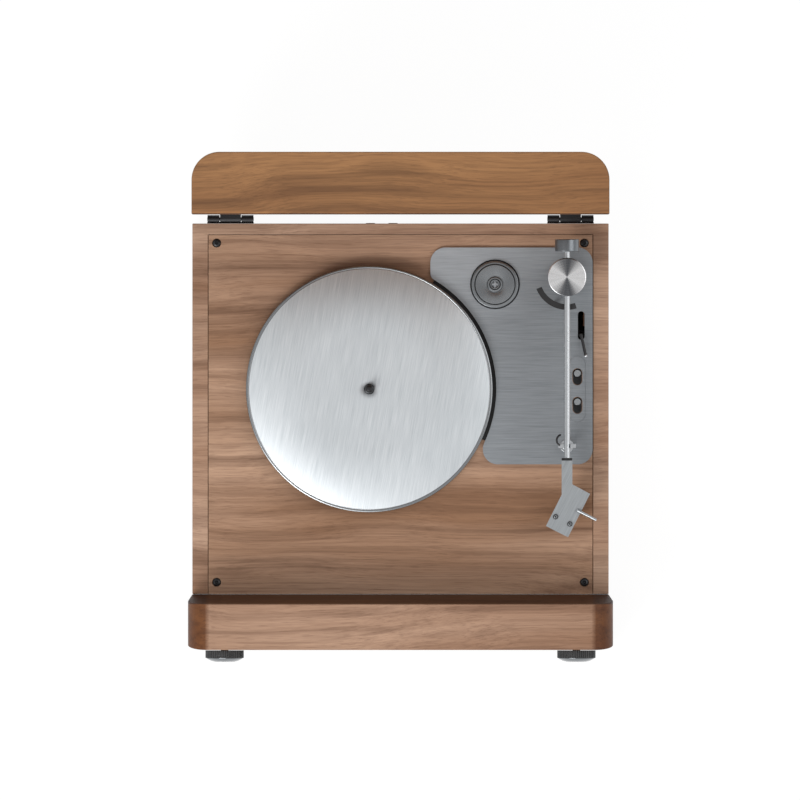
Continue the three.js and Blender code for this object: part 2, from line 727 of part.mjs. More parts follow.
function makeArm() {
  const y = -armBack;
  const base = turned(scaled(baseShares, baseRadius, baseHeight - fit, plateThick + fit), 32);
  const post = rod(postRadius, -panelThick - postDepth, plateThick + seat);
  const bore = rod(pivotRadius + runningGap, -panelThick - overrun, yokeLow + overrun, 0, 0, 12);
  place('arm_base', cut(join(base, post), bore).translate(armX, y, 0), 'steel');
  const arm = new THREE.Group();
  arm.position.set(armX, y, 0);
  deck.add(arm);
  const half = yokeWidth / 2;
  const deep = yokeDepth / 2;
  const high = armHeight + tubeRadius + yokeAbove;
  const bridge = block(-half, half, -deep, deep, yokeLow, yokeLow + yokeWall);
  const left = block(-half, -half + yokeWall, -deep, deep, yokeLow, high);
  const right = block(half - yokeWall, half, -deep, deep, yokeLow, high);
  const pivotPin = rod(pivotRadius, plateThick, yokeLow + yokeWall / 2, 0, 0, 12);
  const pinHoles = barX(rodRadius + runningGap, -half - overrun, half + overrun, 0, armHeight, 12);
  place('arm_yoke', cut(join(bridge, left, right, pivotPin), pinHoles), 'steel', arm);
  const capLow = high + fit;
  const cap = turned([[0, capLow], [capRadius, capLow], [capRadius, high + capThick - capEase],
    [capRadius - capEase, high + capThick], [0, high + capThick]], 48);
  place('arm_pivot_cap', cap, 'aluminium', arm);
  const hubHalf = half - yokeWall - hubGap;
  const hub = block(-hubHalf, hubHalf, -hubDepth / 2, hubDepth / 2, armHeight - hubDrop, armHeight + hubRise);
  const crossPin = barX(rodRadius, -half, half, 0, armHeight, 12);
  const tubeBore = barY(tubeRadius + glueGap, -hubDepth, hubDepth, 0, armHeight, 16);
  place('arm_hub', cut(join(hub, crossPin), tubeBore), 'steel', arm);
  place('arm_tube', barY(tubeRadius, -armLength, weightBack + weightLength / 2, 0, armHeight, 16), 'steel', arm);
  const ring = barY(weightRadius, weightBack, weightBack + weightLength, 0, armHeight, 32);
  const weightBore = barY(tubeRadius + runningGap, weightBack - overrun, weightBack + weightLength - yokeWall / 2,
    0, armHeight, 16);
  place('counterweight', cut(ring, weightBore), 'brushed', arm);
  const collar = barY(stemWidth / 2, -armLength - collarLength, -armLength + collarGrip, 0, armHeight, 20);
  const collarBore = barY(tubeRadius + glueGap, -armLength, -armLength + collarGrip + overrun, 0, armHeight, 16);
  place('headshell_collar', cut(collar, collarBore), 'rubber', arm);
  makeHeadshell(arm);
}

// The headshell's outline from above, in the arm's frame: a stem, then a blade turned inward.
const stemBack = armLength + collarLength + fit;

function makeHeadshell(arm) {
  const half = stemWidth / 2;
  const turn = THREE.MathUtils.degToRad(shellAngle);
  const down = new THREE.Vector2(-Math.sin(turn), -Math.cos(turn));
  const across = new THREE.Vector2(Math.cos(turn), -Math.sin(turn));
  const shoulder = new THREE.Vector2(half + shoulderOut, -stemBack - stemRun - shoulderRun);
  const toe = shoulder.clone().addScaledVector(down, bladeLong);
  const heel = toe.clone().addScaledVector(across, -bladeWidth);
  const outline = polygon([[-half, -stemBack], [-half, -stemBack - stemLong], [heel.x, heel.y], [toe.x, toe.y],
    [shoulder.x, shoulder.y], [half, -stemBack - stemRun], [half, -stemBack]]);
  const low = armHeight - shellThick / 2;
  const high = low + shellThick;
  const blade = extruded(outline, shellThick).translate(0, 0, low);
  const middle = toe.clone().addScaledVector(across, -bladeWidth / 2).addScaledVector(down, -toeBack);
  const screws = [-screwPitch, screwPitch].map((side) => {
    return toe.clone().addScaledVector(across, side - bladeWidth / 2).addScaledVector(down, -screwToe);
  });
  const holes = screws.map((at) => rod(screwRadius, low - overrun, high + overrun, at.x, at.y, 10));
  const spot = shoulder.clone().addScaledVector(down, liftToe).addScaledVector(across, -liftInset);
  const liftHole = rod(fingerRadius + fit, high - fingerRadius, high + overrun, spot.x, spot.y, 10);
  place('headshell', cut(blade, ...holes, liftHole), 'brushed', arm);
  const screwAt = (at) => {
    const shank = rod(screwRadius - fit, low - shellThick, high + screwRise / 2, 0, 0, 10);
    const head = rod(screwRadius + screwHead, high + fit, high + screwRise, 0, 0, 12);
    return join(shank, head).translate(at.x, at.y, 0);
  };
  const lift = barY(fingerRadius, -fingerLength, 0, 0, 0, 10).rotateZ(Math.PI / 2 - turn).translate(spot.x, spot.y, 0);
  const stub = rod(fingerRadius, high - fingerRadius + fit, high + fingerRise, spot.x, spot.y, 10);
  lift.translate(0, 0, high + fingerRise);
  place('finger_lift', join(lift, stub), 'steel', arm);
  const bodyTop = low - fit;
  const bodyLow = bodyTop - cartridgeHeight;
  const shell = block(-cartridgeWidth / 2, cartridgeWidth / 2, -cartridgeLength / 2, cartridgeLength / 2,
    bodyLow, bodyTop).rotateZ(-turn).translate(middle.x, middle.y, 0);
  place('cartridge', join(shell, ...screws.map(screwAt)), 'darkPlastic', arm);
  const tip = middle.clone().addScaledVector(down, cartridgeLength * stylusShare);
  const needle = turned([[0, -stylusDrop], [stylusTip, -stylusDrop], [stylusRoot, -fit], [0, -fit]], 10);
  place('stylus', needle.translate(tip.x, tip.y, bodyLow), 'brass', arm);
}

function makeRest() {
  const y = -restBack;
  const saddle = armHeight - tubeRadius - seat;
  const low = plateThick + fit;
  const post = rod(restRadius, low, saddle - restFootThick, armX, y, 16);
  const foot = rod(restRadius + restFoot, low, low + restFootThick, armX, y, 20);
  const pin = rod(restPin, -panelThick, low + fit, armX, y, 12);
  const jaw = block(armX - jawWidth / 2, armX + jawWidth / 2, y - jawDepth / 2, y + jawDepth / 2,
    saddle - jawDrop, armHeight + jawRise);
  const gap = block(armX - tubeRadius - seat, armX + tubeRadius + seat, y - overrun, y + overrun,
    saddle, armHeight + jawRise + overrun);
  place('arm_rest', cut(join(post, foot, pin, jaw), gap, swingRoom()), 'steel');
}

// The saddle is open on the platter side, so the arm swings inwards without lifting.
function swingRoom() {
  return block(armX - jawWidth, armX, -restBack - overrun, -restBack + overrun,
    armHeight - tubeRadius - seat, armHeight + jawRise + overrun);
}

function makeLift() {
  const top = armHeight - tubeRadius - seat;
  const shape = new THREE.Shape();
  shape.absarc(0, 0, liftRadius + liftWidth / 2, liftFrom, liftTo, false);
  shape.absarc(0, 0, liftRadius - liftWidth / 2, liftTo, liftFrom, true);
  shape.closePath();
  const bar = extruded(shape, liftThick, 12).translate(armX, -armBack, top - liftThick);
  const [x, y] = liftPostPlace();
  const stem = rod(liftPost, -liftDrop, top - liftThick / 2, x, y, 12);
  place('lift_bar', join(bar, stem), 'rubber');
}

function makeCueLever() {
  const y = -slotBack - slotLength + leverInset;
  const z = -panelThick - leverDrop;
  const axle = barX(axleRadius, leverX - axleLeft, leverX + axleRight, y, z, 12);
  const arm = rod(leverRod, z, leverRise, leverX, y, 10);
  const cam = barX(camRadius, leverX - camWidth / 2, leverX + camWidth / 2, y, z, 12);
  const finger = rod(leverTip, 0, leverLength, 0, 0, 10).rotateX(Math.PI / 2 - leverLean).rotateZ(leverSwing);
  finger.translate(leverX, y, leverRise - leverTip / 2);
  place('cue_lever', join(axle, arm, cam, finger), 'darkPlastic');
  const low = z - earHalf;
  const reach = earStart + earThick;
  const ear = (x0) => block(x0, x0 + earThick, y - earHalf, y + earHalf, low, -panelThick - fit);
  const strap = block(leverX - reach, leverX + reach, y - earHalf, y + earHalf, low - strapThick, low + fit);
  const bore = barX(axleRadius + runningGap, leverX - axleLeft - overrun, leverX + axleRight + overrun, y, z, 12);
  place('cue_bracket', cut(join(ear(leverX - reach), ear(leverX + earStart), strap), bore), 'darkPlastic');
}

function makeButtons() {
  const names = ['speed_switch', 'stop_switch'];
  const half = switchWidth / 2;
  const low = -panelThick - switchDeep;
  buttonBacks.forEach((back, i) => {
    const y = -back;
    const button = rod(buttonRadius, -buttonDepth, plateThick + buttonRise, inlayX, y, 16);
    const stem = rod(buttonRadius - buttonStem, -panelThick - buttonDepth, -buttonStem, inlayX, y, 10);
    place(`${names[i]}_button`, join(button, stem), 'brushed');
    const well = block(inlayX - half, inlayX + half, y - switchFront, y + switchBack, low, -panelThick - fit);
    const room = block(inlayX - switchRoom, inlayX + switchRoom, y - switchFront + switchWall,
      y + switchBack - switchWall, low + 2 * switchWall, overrun);
    place(`${names[i]}_body`, cut(well, room), 'darkPlastic');
  });
}

function makeLid() {
  const lid = new THREE.Group();
  lid.position.set(0, -pinBack, pinZ);
  lid.rotation.x = -Math.PI / 2;
  deck.add(lid);
  const low = -pinZ + lidLift;
  const high = low + lidHeight;
  const rear = pinBack;
  const front = pinBack - deckDepth + seat;
  const full = arch(lidWidth, low, high, lidRadius, front - rakeRun - overrun, rear);
  const far = -2 * rakeRun - 2 * overrun;
  const rakeCut = extruded(polygon([[0, 0], [-2 * rakeRun, 2 * frontRise], [far, 2 * frontRise],
    [far, -2 * overrun], [0, -2 * overrun]]), lidWidth + 2 * overrun);
  rakeCut.rotateX(Math.PI / 2).rotateZ(Math.PI / 2).translate(-lidWidth / 2 - overrun, front, low);
  const hollow = arch(lidWidth - 2 * lidWall, low - overrun, high - lidWall, lidInnerRadius,
    front + lidWall, rear - lidWall);
  place('lid_shell', cut(full, rakeCut, hollow), 'walnut', lid);
  makeHinge('left', -hingeX, lid);
  makeHinge('right', hingeX, lid);
}

function makeHinge(side, x, lid) {
  const lengths = knuckleShares.map((share) => share * hingeLength);
  const start = x - hingeLength / 2;
  const bores = (y, z) => barX(pinRadius + runningGap, start - overrun, start + hingeLength + overrun, y, z, 12);
  const spans = [];
  lengths.reduce((at, length) => {
    spans.push([at + knuckleGap / 2, at + length - knuckleGap / 2]);
    return at + length;
  }, start);
  const knuckle = ([x0, x1], y, z) => barX(barrelRadius, x0, x1, y, z, 16);
  const caseFace = fit;
  const wing = (used, z0, z1, y0) => used.map(([x0, x1]) => block(x0, x1, y0, y0 + leafThick, z0, z1));
  const leafHigh = pinZ - barrelRadius - seat;
  const plate = block(start, start + hingeLength, caseFace, caseFace + leafThick, pinZ - leafHeight, leafHigh);
  const outerSpans = [spans[0], spans[2]];
  const webs = wing(outerSpans, leafHigh - leafThick, pinZ, caseFace);
  const caseLeaf = join(plate, ...webs, ...outerSpans.map((span) => knuckle(span, -pinBack, pinZ)));
  const lidFace = pinBack + caseFace;
  const top = block(start, start + hingeLength, lidFace, lidFace + leafThick, barrelRadius + lidLift + seat, leafHeight);
  const web = wing([spans[1]], 0, barrelRadius + lidLift + leafThick, lidFace);
  const lidLeaf = join(top, ...web, knuckle(spans[1], 0, 0));
  place(`hinge_${side}_lid_leaf`, cut(lidLeaf, bores(0, 0)), 'darkPlastic', lid);
  const pin = barX(pinRadius, start, start + hingeLength, -pinBack, pinZ, 12);
  place(`hinge_${side}_case_leaf`, join(caseLeaf, pin), 'darkPlastic');
}

function makeFeet() {
  const half = caseWidth / 2 - footInsetX;
  const backs = [footInsetY, frontFace - footInsetY];
  const places = backs.flatMap((back) => [[-half, -back], [half, -back]]);
  places.forEach(([x, y], i) => {
    const foot = turned([[0, -footHeight], [footRadius - footEase, -footHeight], [footRadius, -footHeight + footEase],
      [footRadius, -fit], [0, -fit]], 24);
    place(`rubber_foot_${i + 1}`, foot.translate(x, y, -caseHeight), 'rubber');
  });
}

function makeElectronics() {
  const low = -caseHeight + bottomThick + fit;
  const x0 = caseWidth * boardShare;
  const x1 = x0 + boardWidth;
  const y0 = -deckDepth + boardInset;
  const y1 = y0 + boardDepth;
  const high = low + boardRise + boardThick;
  const board = block(x0, x1, y0, y1, low + boardRise, high);
  const corners = [x0 + standInset, x1 - standInset].flatMap((x) => [[x, y0 + standInset], [x, y1 - standInset]]);
  const posts = corners.map(([x, y]) => rod(standRadius, low, high - fit, x, y, 10));
  const [left, right, front, rearEdge] = sinkPlace;
  const sink = block(x0 + left, x0 + right, y0 + front, y0 + rearEdge, high - fit, low + sinkHeight);
  const chips = chipPlaces.map(([across, along]) => {
    const [x, y] = [x0 + across, y0 + along];
    return block(x - chipHalf, x + chipHalf, y - chipHalf, y + chipHalf, high - fit, low + chipHeight);
  });
  place('amplifier_board', join(board, ...posts, sink, ...chips), 'board');
  const half = socketWidth / 2 - seat;
  const [inside, outside] = rearPlate;
  const panel = block(-half, half, -shellWall + inside, -outside, socketLow + seat, socketHigh - seat);
  const mid = (socketLow + socketHigh) / 2;
  const rear = -shellWall - socketDepth;
  const [inletWide, inletTall] = inletHalf;
  const holes = socketPlaces.map((x) => barY(socketRadius + fit, rear, overrun, x, mid, 16));
  const inlet = block(inletX - inletWide - fit, inletX + inletWide + fit, rear, overrun,
    mid - inletTall - fit, mid + inletTall + fit);
  place('rear_panel', cut(panel, ...holes, inlet), 'darkPlastic');
  const socket = (x) => {
    const body = barY(socketRadius, rear, -outside / 2, x, mid, 16);
    const ring = barY(socketRing, -outside, socketReach, x, mid, 16);
    return cut(join(body, ring), barY(socketBore, -outside / 2, overrun, x, mid, 8));
  };
  const link = block(...socketPlaces, rear, rear + linkThick, mid - linkHalf, mid + linkHalf);
  place('line_sockets', join(link, ...socketPlaces.map(socket)), 'brass');
  const inletBody = block(inletX - inletWide, inletX + inletWide, rear, -inletStep, mid - inletTall, mid + inletTall);
  const mouth = barY(inletMouth, -shellWall + inside, overrun, inletX, mid, 16);
  place('power_inlet', cut(inletBody, mouth), 'darkPlastic');
}

makeCase();
makeDeckPanel();
makeFront();
makeSpeakers();
makeKnobs();
makePlatter();
makeDrive();
makePlate();
makeAdapter();
makeArm();
makeRest();
makeLift();
makeCueLever();
makeButtons();
makeLid();
makeFeet();
makeElectronics();

export default model;
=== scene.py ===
# %% [markdown]
# # A compact wooden record player, seen straight from above
# The player is a walnut case with a brushed plate, a turntable and a tonearm, a raised speaker box
# along its front, and a wooden lid that stands open at the back. The solid model already holds
# every part at its right place and size, so this lesson keeps it as a frame. It dresses the parts
# with wood, brushed metal and black plastic, and makes finer pieces where a plain solid looks stiff.

import json
import math

import bmesh
import bpy
from mathutils import Matrix, Vector


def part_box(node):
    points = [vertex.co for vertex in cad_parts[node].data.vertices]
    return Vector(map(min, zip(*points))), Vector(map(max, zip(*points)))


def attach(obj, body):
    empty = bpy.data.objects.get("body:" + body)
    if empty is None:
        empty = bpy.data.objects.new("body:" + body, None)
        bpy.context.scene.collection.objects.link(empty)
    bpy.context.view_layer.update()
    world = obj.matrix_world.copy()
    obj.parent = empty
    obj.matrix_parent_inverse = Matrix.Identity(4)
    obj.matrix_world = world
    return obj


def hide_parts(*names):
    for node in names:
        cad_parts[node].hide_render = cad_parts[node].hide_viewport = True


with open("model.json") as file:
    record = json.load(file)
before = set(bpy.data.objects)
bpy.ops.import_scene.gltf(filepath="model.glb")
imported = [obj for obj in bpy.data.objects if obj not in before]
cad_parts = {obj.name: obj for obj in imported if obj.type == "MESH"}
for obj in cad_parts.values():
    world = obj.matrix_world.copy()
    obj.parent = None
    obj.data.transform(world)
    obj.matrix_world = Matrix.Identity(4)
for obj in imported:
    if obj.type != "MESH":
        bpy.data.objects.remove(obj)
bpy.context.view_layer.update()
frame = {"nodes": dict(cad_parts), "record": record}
NODES = frame["nodes"]

# %% [markdown]
# ## The camera
# The photograph looks straight down, and nothing in it leans or shrinks with height: the end of the
# tall lid is as wide as the deck far below it. A camera that near to parallel is an orthographic one,
# whose picture is as wide as 800 pixels of 0.8 mm.

# %% Look straight down, with no perspective
MM = 0.001
PIXELS = 800
PIXEL = 0.8 * MM
CAMERA_PLACE = (-0.0004, 0.0054, 3.0)
camera_data = bpy.data.cameras.new("above")
camera_data.type = "ORTHO"
camera_data.ortho_scale = PIXELS * PIXEL
camera_data.clip_start = 0.1
camera_data.clip_end = 20.0
camera = bpy.data.objects.new("above", camera_data)
camera.location = CAMERA_PLACE
bpy.context.scene.collection.objects.link(camera)
bpy.context.scene.camera = camera
bpy.context.scene.view_settings.view_transform = "Standard"
print("picture", camera_data.ortho_scale, "m wide")

# %% [markdown]
# ## Light and floor
# The set is a white floor and sky with large soft lamps. One big lamp stands to the front left, a
# weaker one to the right, and the even sky fills the rest, so a colour comes out about as written.
# A small lamp close to the front edge gives flat metal its slow change from bright to dark.
# The floor shows white to the camera and in reflections, and still takes a little shadow.


# %% A small helper that adds nodes and links by name or number
def add_node(tree, kind, settings=None, **inputs):
    node = tree.nodes.new(kind)
    for key, value in (settings or {}).items():
        setattr(node, key, value)
    for key, value in inputs.items():
        numbered = key[0] == "i" and key[1:].isdigit()
        socket = node.inputs[int(key[1:]) if numbered else key.replace("_", " ")]
        if isinstance(value, bpy.types.NodeSocket):
            tree.links.new(value, socket)
        else:
            socket.default_value = value
    return node


def maths(tree, operation, first, second=None):
    inputs = {"i0": first} if second is None else {"i0": first, "i1": second}
    return add_node(tree, "ShaderNodeMath", {"operation": operation}, **inputs).outputs[0]


# %% Sky, lamps and floor
SKY_LIGHT = 0.62
SKY_SEEN = 1.0
FLOOR_HALF = 40.0
FLOOR_DROP = 0.5 * MM
FLOOR_GREY = 0.9
FLOOR_SHARE = 0.9
FLOOR_GLOW = 1.04
WHITE, BLACK = (1, 1, 1, 1), (0, 0, 0, 1)

world = bpy.data.worlds.new("studio")
bpy.context.scene.world = world
world.use_nodes = True
sky = world.node_tree
sky.nodes.clear()
rays = add_node(sky, "ShaderNodeLightPath").outputs
seen = maths(sky, "MAXIMUM", rays["Is Camera Ray"], rays["Is Transmission Ray"])
level = add_node(sky, "ShaderNodeMapRange", i0=seen, To_Min=SKY_LIGHT, To_Max=SKY_SEEN)
backdrop = add_node(sky, "ShaderNodeBackground", Color=WHITE, Strength=level.outputs[0])
add_node(sky, "ShaderNodeOutputWorld", Surface=backdrop.outputs[0])


def soft_lamp(name, place, target, size, power):
    data = bpy.data.lights.new(name, "AREA")
    data.shape = "SQUARE"
    data.size = size
    data.energy = power
    lamp = bpy.data.objects.new(name, data)
    lamp.location = place
    lamp.rotation_euler = (Vector(target) - Vector(place)).to_track_quat("-Z", "Y").to_euler()
    bpy.context.scene.collection.objects.link(lamp)


soft_lamp("key", place=(-1.3, -1.5, 2.2), target=(0, 0, 0.1), size=1.1, power=30)
soft_lamp("low_key", place=(-0.35, -0.95, 0.95), target=(0, 0, 0.08), size=0.75, power=4.5)
soft_lamp("fill", place=(1.9, 0.4, 1.9), target=(0, 0, 0.1), size=1.6, power=12)

floor_mesh = bpy.data.meshes.new("floor")
floor_mesh.from_pydata([(x * FLOOR_HALF, y * FLOOR_HALF, 0) for x, y in ((-1, -1), (1, -1), (1, 1), (-1, 1))],
                       [], [(0, 1, 2, 3)])
floor = bpy.data.objects.new("floor", floor_mesh)
floor.location.z = -FLOOR_DROP
bpy.context.scene.collection.objects.link(floor)
white = bpy.data.materials.new("white_floor")
white.use_nodes = True
tree = white.node_tree
tree.nodes.clear()
rays = add_node(tree, "ShaderNodeLightPath").outputs
direct = maths(tree, "MAXIMUM", rays["Is Camera Ray"], rays["Is Glossy Ray"])
direct = maths(tree, "MAXIMUM", direct, rays["Is Transmission Ray"])
share = maths(tree, "MULTIPLY", direct, FLOOR_SHARE)
matt = add_node(tree, "ShaderNodeBsdfDiffuse", Color=(FLOOR_GREY, FLOOR_GREY, FLOOR_GREY, 1))
glow = add_node(tree, "ShaderNodeEmission", Color=WHITE, Strength=FLOOR_GLOW)
both = add_node(tree, "ShaderNodeMixShader", Fac=share, i1=matt.outputs[0], i2=glow.outputs[0])
add_node(tree, "ShaderNodeOutputMaterial", Surface=both.outputs[0])
floor_mesh.materials.append(white)
print("three lamps, a sky and a floor")

# %% [markdown]
# ## Effects that several finishes share
# Real surfaces are never one flat colour. Four small node groups carry what the finishes share: the
# figure and pores of wood, the fine hairlines of brushed metal, the rings of turned metal with their
# painted highlight wedges, and the faint handling marks that vary the gloss of everything. Each group
# only gives out colours, masks and heights, so the shader itself stays in the material.

# %% Helpers for groups: a colour as the eye reads it, noise, ranges, mixes and sums
COLOUR, VALUE, VECTOR = "NodeSocketColor", "NodeSocketFloat", "NodeSocketVector"


def new_group(name, inputs):
    """A group that takes a vector and these inputs, and gives out a colour, a roughness and a height."""
    group = bpy.data.node_groups.new(name, "ShaderNodeTree")
    for label, kind, value in [("Vector", VECTOR, None)] + inputs:
        socket = group.interface.new_socket(name=label, in_out="INPUT", socket_type=kind)
        if value is not None:
            socket.default_value = value
    for label, kind in (("Color", COLOUR), ("Roughness", VALUE), ("Height", VALUE)):
        group.interface.new_socket(name=label, in_out="OUTPUT", socket_type=kind)
    return group, group.nodes.new("NodeGroupInput").outputs


def give_out(group, colour, roughness, height):
    add_node(group, "NodeGroupOutput", Color=colour, Roughness=roughness, Height=height)


def rgb(r, g, b):
    """A colour as the eye reads it, 0 to 255, turned into the linear light that shaders use."""
    def linear(c):
        c /= 255.0
        return c / 12.92 if c <= 0.04045 else ((c + 0.055) / 1.055) ** 2.4
    return (linear(r), linear(g), linear(b), 1.0)


def stretched(tree, vector, scale):
    return add_node(tree, "ShaderNodeVectorMath", {"operation": "MULTIPLY"}, i0=vector, i1=scale).outputs[0]


def noise(tree, vector, scale, detail=3.0, rough=0.55, distortion=0.0):
    return add_node(tree, "ShaderNodeTexNoise", Vector=vector, Scale=scale, Detail=detail,
                    Roughness=rough, Distortion=distortion).outputs[0]


def streaky(tree, vector, along, across, detail, rough):
    """Noise drawn out along X, with so many steps to the metre along it and across it."""
    return noise(tree, stretched(tree, vector, (along, across, across)), 1.0, detail, rough)


def mapped(tree, value, low, high, to_low=0.0, to_high=1.0):
    return add_node(tree, "ShaderNodeMapRange", {"clamp": True}, i0=value, From_Min=low, From_Max=high,
                    To_Min=to_low, To_Max=to_high).outputs[0]


def mixed(tree, factor, first, second, blend="MIX"):
    return add_node(tree, "ShaderNodeMix", {"data_type": "RGBA", "blend_type": blend},
                    i0=factor, i6=first, i7=second).outputs[2]


def times(tree, first, second):
    return maths(tree, "MULTIPLY", first, second)


def plus(tree, first, second):
    return maths(tree, "ADD", first, second)


def off_middle(tree, value, strength):
    """How far a value between 0 and 1 lies from the middle, times a strength."""
    return times(tree, maths(tree, "SUBTRACT", value, 0.5), strength)


# %% The wood group: broad figure, cathedral bands, fine streaks and open pores
t, given = new_group("walnut_grain", [
    ("Pale", COLOUR, WHITE), ("Middle", COLOUR, WHITE), ("Deep", COLOUR, WHITE),
    ("Figure", VALUE, 0.5), ("Pores", VALUE, 0.5)])
wood_group = t
bend = off_middle(t, noise(t, stretched(t, given["Vector"], (1.0, 2.2, 2.2)), 3.2, 2.0), 0.05)
offset = add_node(t, "ShaderNodeCombineXYZ", Y=bend, Z=bend).outputs[0]
wavy = add_node(t, "ShaderNodeVectorMath", {"operation": "ADD"}, i0=given["Vector"], i1=offset).outputs[0]
broad = streaky(t, wavy, 1.6, 17.0, 4.0, 0.55)
bands = streaky(t, wavy, 1.3, 80.0, 4.0, 0.6)
streaks = streaky(t, wavy, 5.0, 560.0, 4.0, 0.65)
flecks = streaky(t, wavy, 60.0, 1700.0, 1.0, 0.4)
base = mixed(t, mapped(t, broad, 0.36, 0.66), given["Pale"], given["Middle"])
banded = mixed(t, times(t, mapped(t, bands, 0.47, 0.7), given["Figure"]), base, given["Deep"])
streaked = mixed(t, mapped(t, streaks, 0.42, 0.72, 0.0, 0.36), banded, given["Deep"])
pore = times(t, mapped(t, flecks, 0.57, 0.66), given["Pores"])
porous = mixed(t, times(t, pore, 0.55), streaked, given["Deep"])
give_out(t, porous, plus(t, mapped(t, broad, 0.3, 0.7, 0.4, 0.5), times(t, pore, 0.15)),
         maths(t, "SUBTRACT", times(t, streaks, 0.5), pore))
print("wood group:", len(t.nodes), "nodes")

# %% The hairline group: long fine scratches on one line, at two scales
t, given = new_group("hairlines", [
    ("Dark", COLOUR, WHITE), ("Bright", COLOUR, WHITE), ("Gloss", VALUE, 0.0)])
brush_group = t
fine = streaky(t, given["Vector"], 40.0, 2200.0, 2.0, 0.6)
wide = streaky(t, given["Vector"], 9.0, 420.0, 3.0, 0.6)
cloud = noise(t, given["Vector"], 7.0, 2.0)
tone = plus(t, plus(t, times(t, fine, 0.6), times(t, wide, 0.2)), times(t, cloud, 0.2))
give_out(t, mixed(t, mapped(t, tone, 0.36, 0.64), given["Dark"], given["Bright"]),
         plus(t, mapped(t, fine, 0.3, 0.7, 0.34, 0.42), given["Gloss"]), fine)

# %% The turned group: rings round the piece's own axis, and bright wedges across them as a painted highlight
t, given = new_group("turned_rings", [
    ("Dark", COLOUR, WHITE), ("Bright", COLOUR, WHITE), ("Wedges", VALUE, 0.0)])
turned_group = t
x, y, z = add_node(t, "ShaderNodeSeparateXYZ", Vector=given["Vector"]).outputs
radius = maths(t, "SQRT", plus(t, times(t, x, x), times(t, y, y)))
angle = maths(t, "ARCTAN2", y, x)
ring_at = add_node(t, "ShaderNodeCombineXYZ", X=times(t, radius, 2300.0), Z=z).outputs[0]
rings = noise(t, ring_at, 1.0, 2.0, 0.7)
swing = maths(t, "COSINE", times(t, angle, 2.0))
beam_at = add_node(t, "ShaderNodeCombineXYZ", X=times(t, maths(t, "SINE", angle), 3.0),
                   Y=times(t, maths(t, "COSINE", angle), 3.0)).outputs[0]
painted_wedge = plus(t, mapped(t, swing, -0.95, 0.35), off_middle(t, noise(t, beam_at, 1.0, 2.0), 0.5))
tone = plus(t, plus(t, off_middle(t, painted_wedge, given["Wedges"]), 0.5), off_middle(t, rings, 0.5))
give_out(t, mixed(t, mapped(t, tone, 0.0, 1.0), given["Dark"], given["Bright"]),
         mapped(t, rings, 0.3, 0.7, 0.2, 0.34), rings)

# %% The handling group: faint smudges and grains that vary tone and gloss
t, given = new_group("handling", [
    ("Color", COLOUR, (0.5, 0.5, 0.5, 1)), ("Roughness", VALUE, 0.5), ("Grain", VALUE, 900.0),
    ("Amount", VALUE, 0.2)])
wear_group = t
smudge = noise(t, given["Vector"], 24.0, 4.0, 0.6, 0.4)
grains = add_node(t, "ShaderNodeTexNoise", Vector=given["Vector"], Scale=given["Grain"],
                  Detail=2.0).outputs[0]
lift = off_middle(t, smudge, given["Amount"])
factor = plus(t, plus(t, lift, off_middle(t, grains, given["Amount"])), 0.5)
lighter = mixed(t, 0.55, given["Color"], WHITE, "SOFT_LIGHT")
darker = mixed(t, 0.6, given["Color"], BLACK, "SOFT_LIGHT")
give_out(t, mixed(t, mapped(t, factor, 0.3, 0.7), darker, lighter), plus(t, given["Roughness"], lift), grains)
print("four effect groups")

# %% [markdown]
# ## The finishes
# Each finish is one material: a group for what changes over the surface, and a plain shader whose
# constants are set on its own sockets. Texture coordinates are the object's own, in metres, centred
# and then turned, so the grain runs across the deck and the rings sit on their axis.


# %% A helper that wires a group into a shader
def finish(name, group, values, turn=(0, 0, 0), centre=(0, 0, 0), metallic=0.0, bump=0.1, depth=0.05,
           specular=0.5, tints=()):
    """depth is in mm. Each tint of painted light is (axis, start, end, colour): it multiplies in from start
    to end, as painted shade or painted highlight.
    """
    material = bpy.data.materials.new(name)
    material.use_nodes = True
    tree = material.node_tree
    tree.nodes.clear()
    where = add_node(tree, "ShaderNodeTexCoord").outputs["Object"]
    moved = add_node(tree, "ShaderNodeVectorMath", {"operation": "SUBTRACT"}, i0=where, i1=centre).outputs[0]
    spun = add_node(tree, "ShaderNodeMapping", Vector=moved, Rotation=turn).outputs[0]
    effect = add_node(tree, "ShaderNodeGroup", {"node_tree": group}, Vector=spun, **values).outputs
    dent = add_node(tree, "ShaderNodeBump", Strength=bump, Distance=depth * MM, Height=effect["Height"])
    colour = effect["Color"]
    # Painted light: each entry darkens or lightens the colour along one axis, as painted shade or painted
    # highlight.
    if tints:
        sides = add_node(tree, "ShaderNodeSeparateXYZ", Vector=where)
    for axis, start, end, tint in tints:
        along = sides.outputs["XYZ".index(axis[-1])]
        if axis[0] == "|":
            along = maths(tree, "ABSOLUTE", along)
        colour = mixed(tree, mapped(tree, along, start, end), colour, (*tint, 1.0), "MULTIPLY")
    shader = add_node(tree, "ShaderNodeBsdfPrincipled", Base_Color=colour, Roughness=effect["Roughness"],
                      Normal=dent.outputs[0], Metallic=metallic, Specular_IOR_Level=specular)
    add_node(tree, "ShaderNodeOutputMaterial", Surface=shader.outputs[0])
    return material


def middle(low, high):
    return tuple((low + high) / 2)


# %% Walnut for deck, case, speaker box and lid
def walnut(name, pale, tone, deep, figure, **placing):
    values = {"Pale": rgb(*pale), "Middle": rgb(*tone), "Deep": rgb(*deep), "Figure": figure, "Pores": 0.45}
    return finish(name, wood_group, values, bump=0.25, specular=0.3, **placing)


# Painted shade on the speaker box: its rounded ends are darkened where they turn from the light, and a band
# along its back face, which faces away from the lamps, is darkened more.
END_PAINTED_SHADE = (17.2 * MM, 13.4 * MM)
REAR_PAINTED_SHADE = (8.2 * MM, 7.2 * MM)
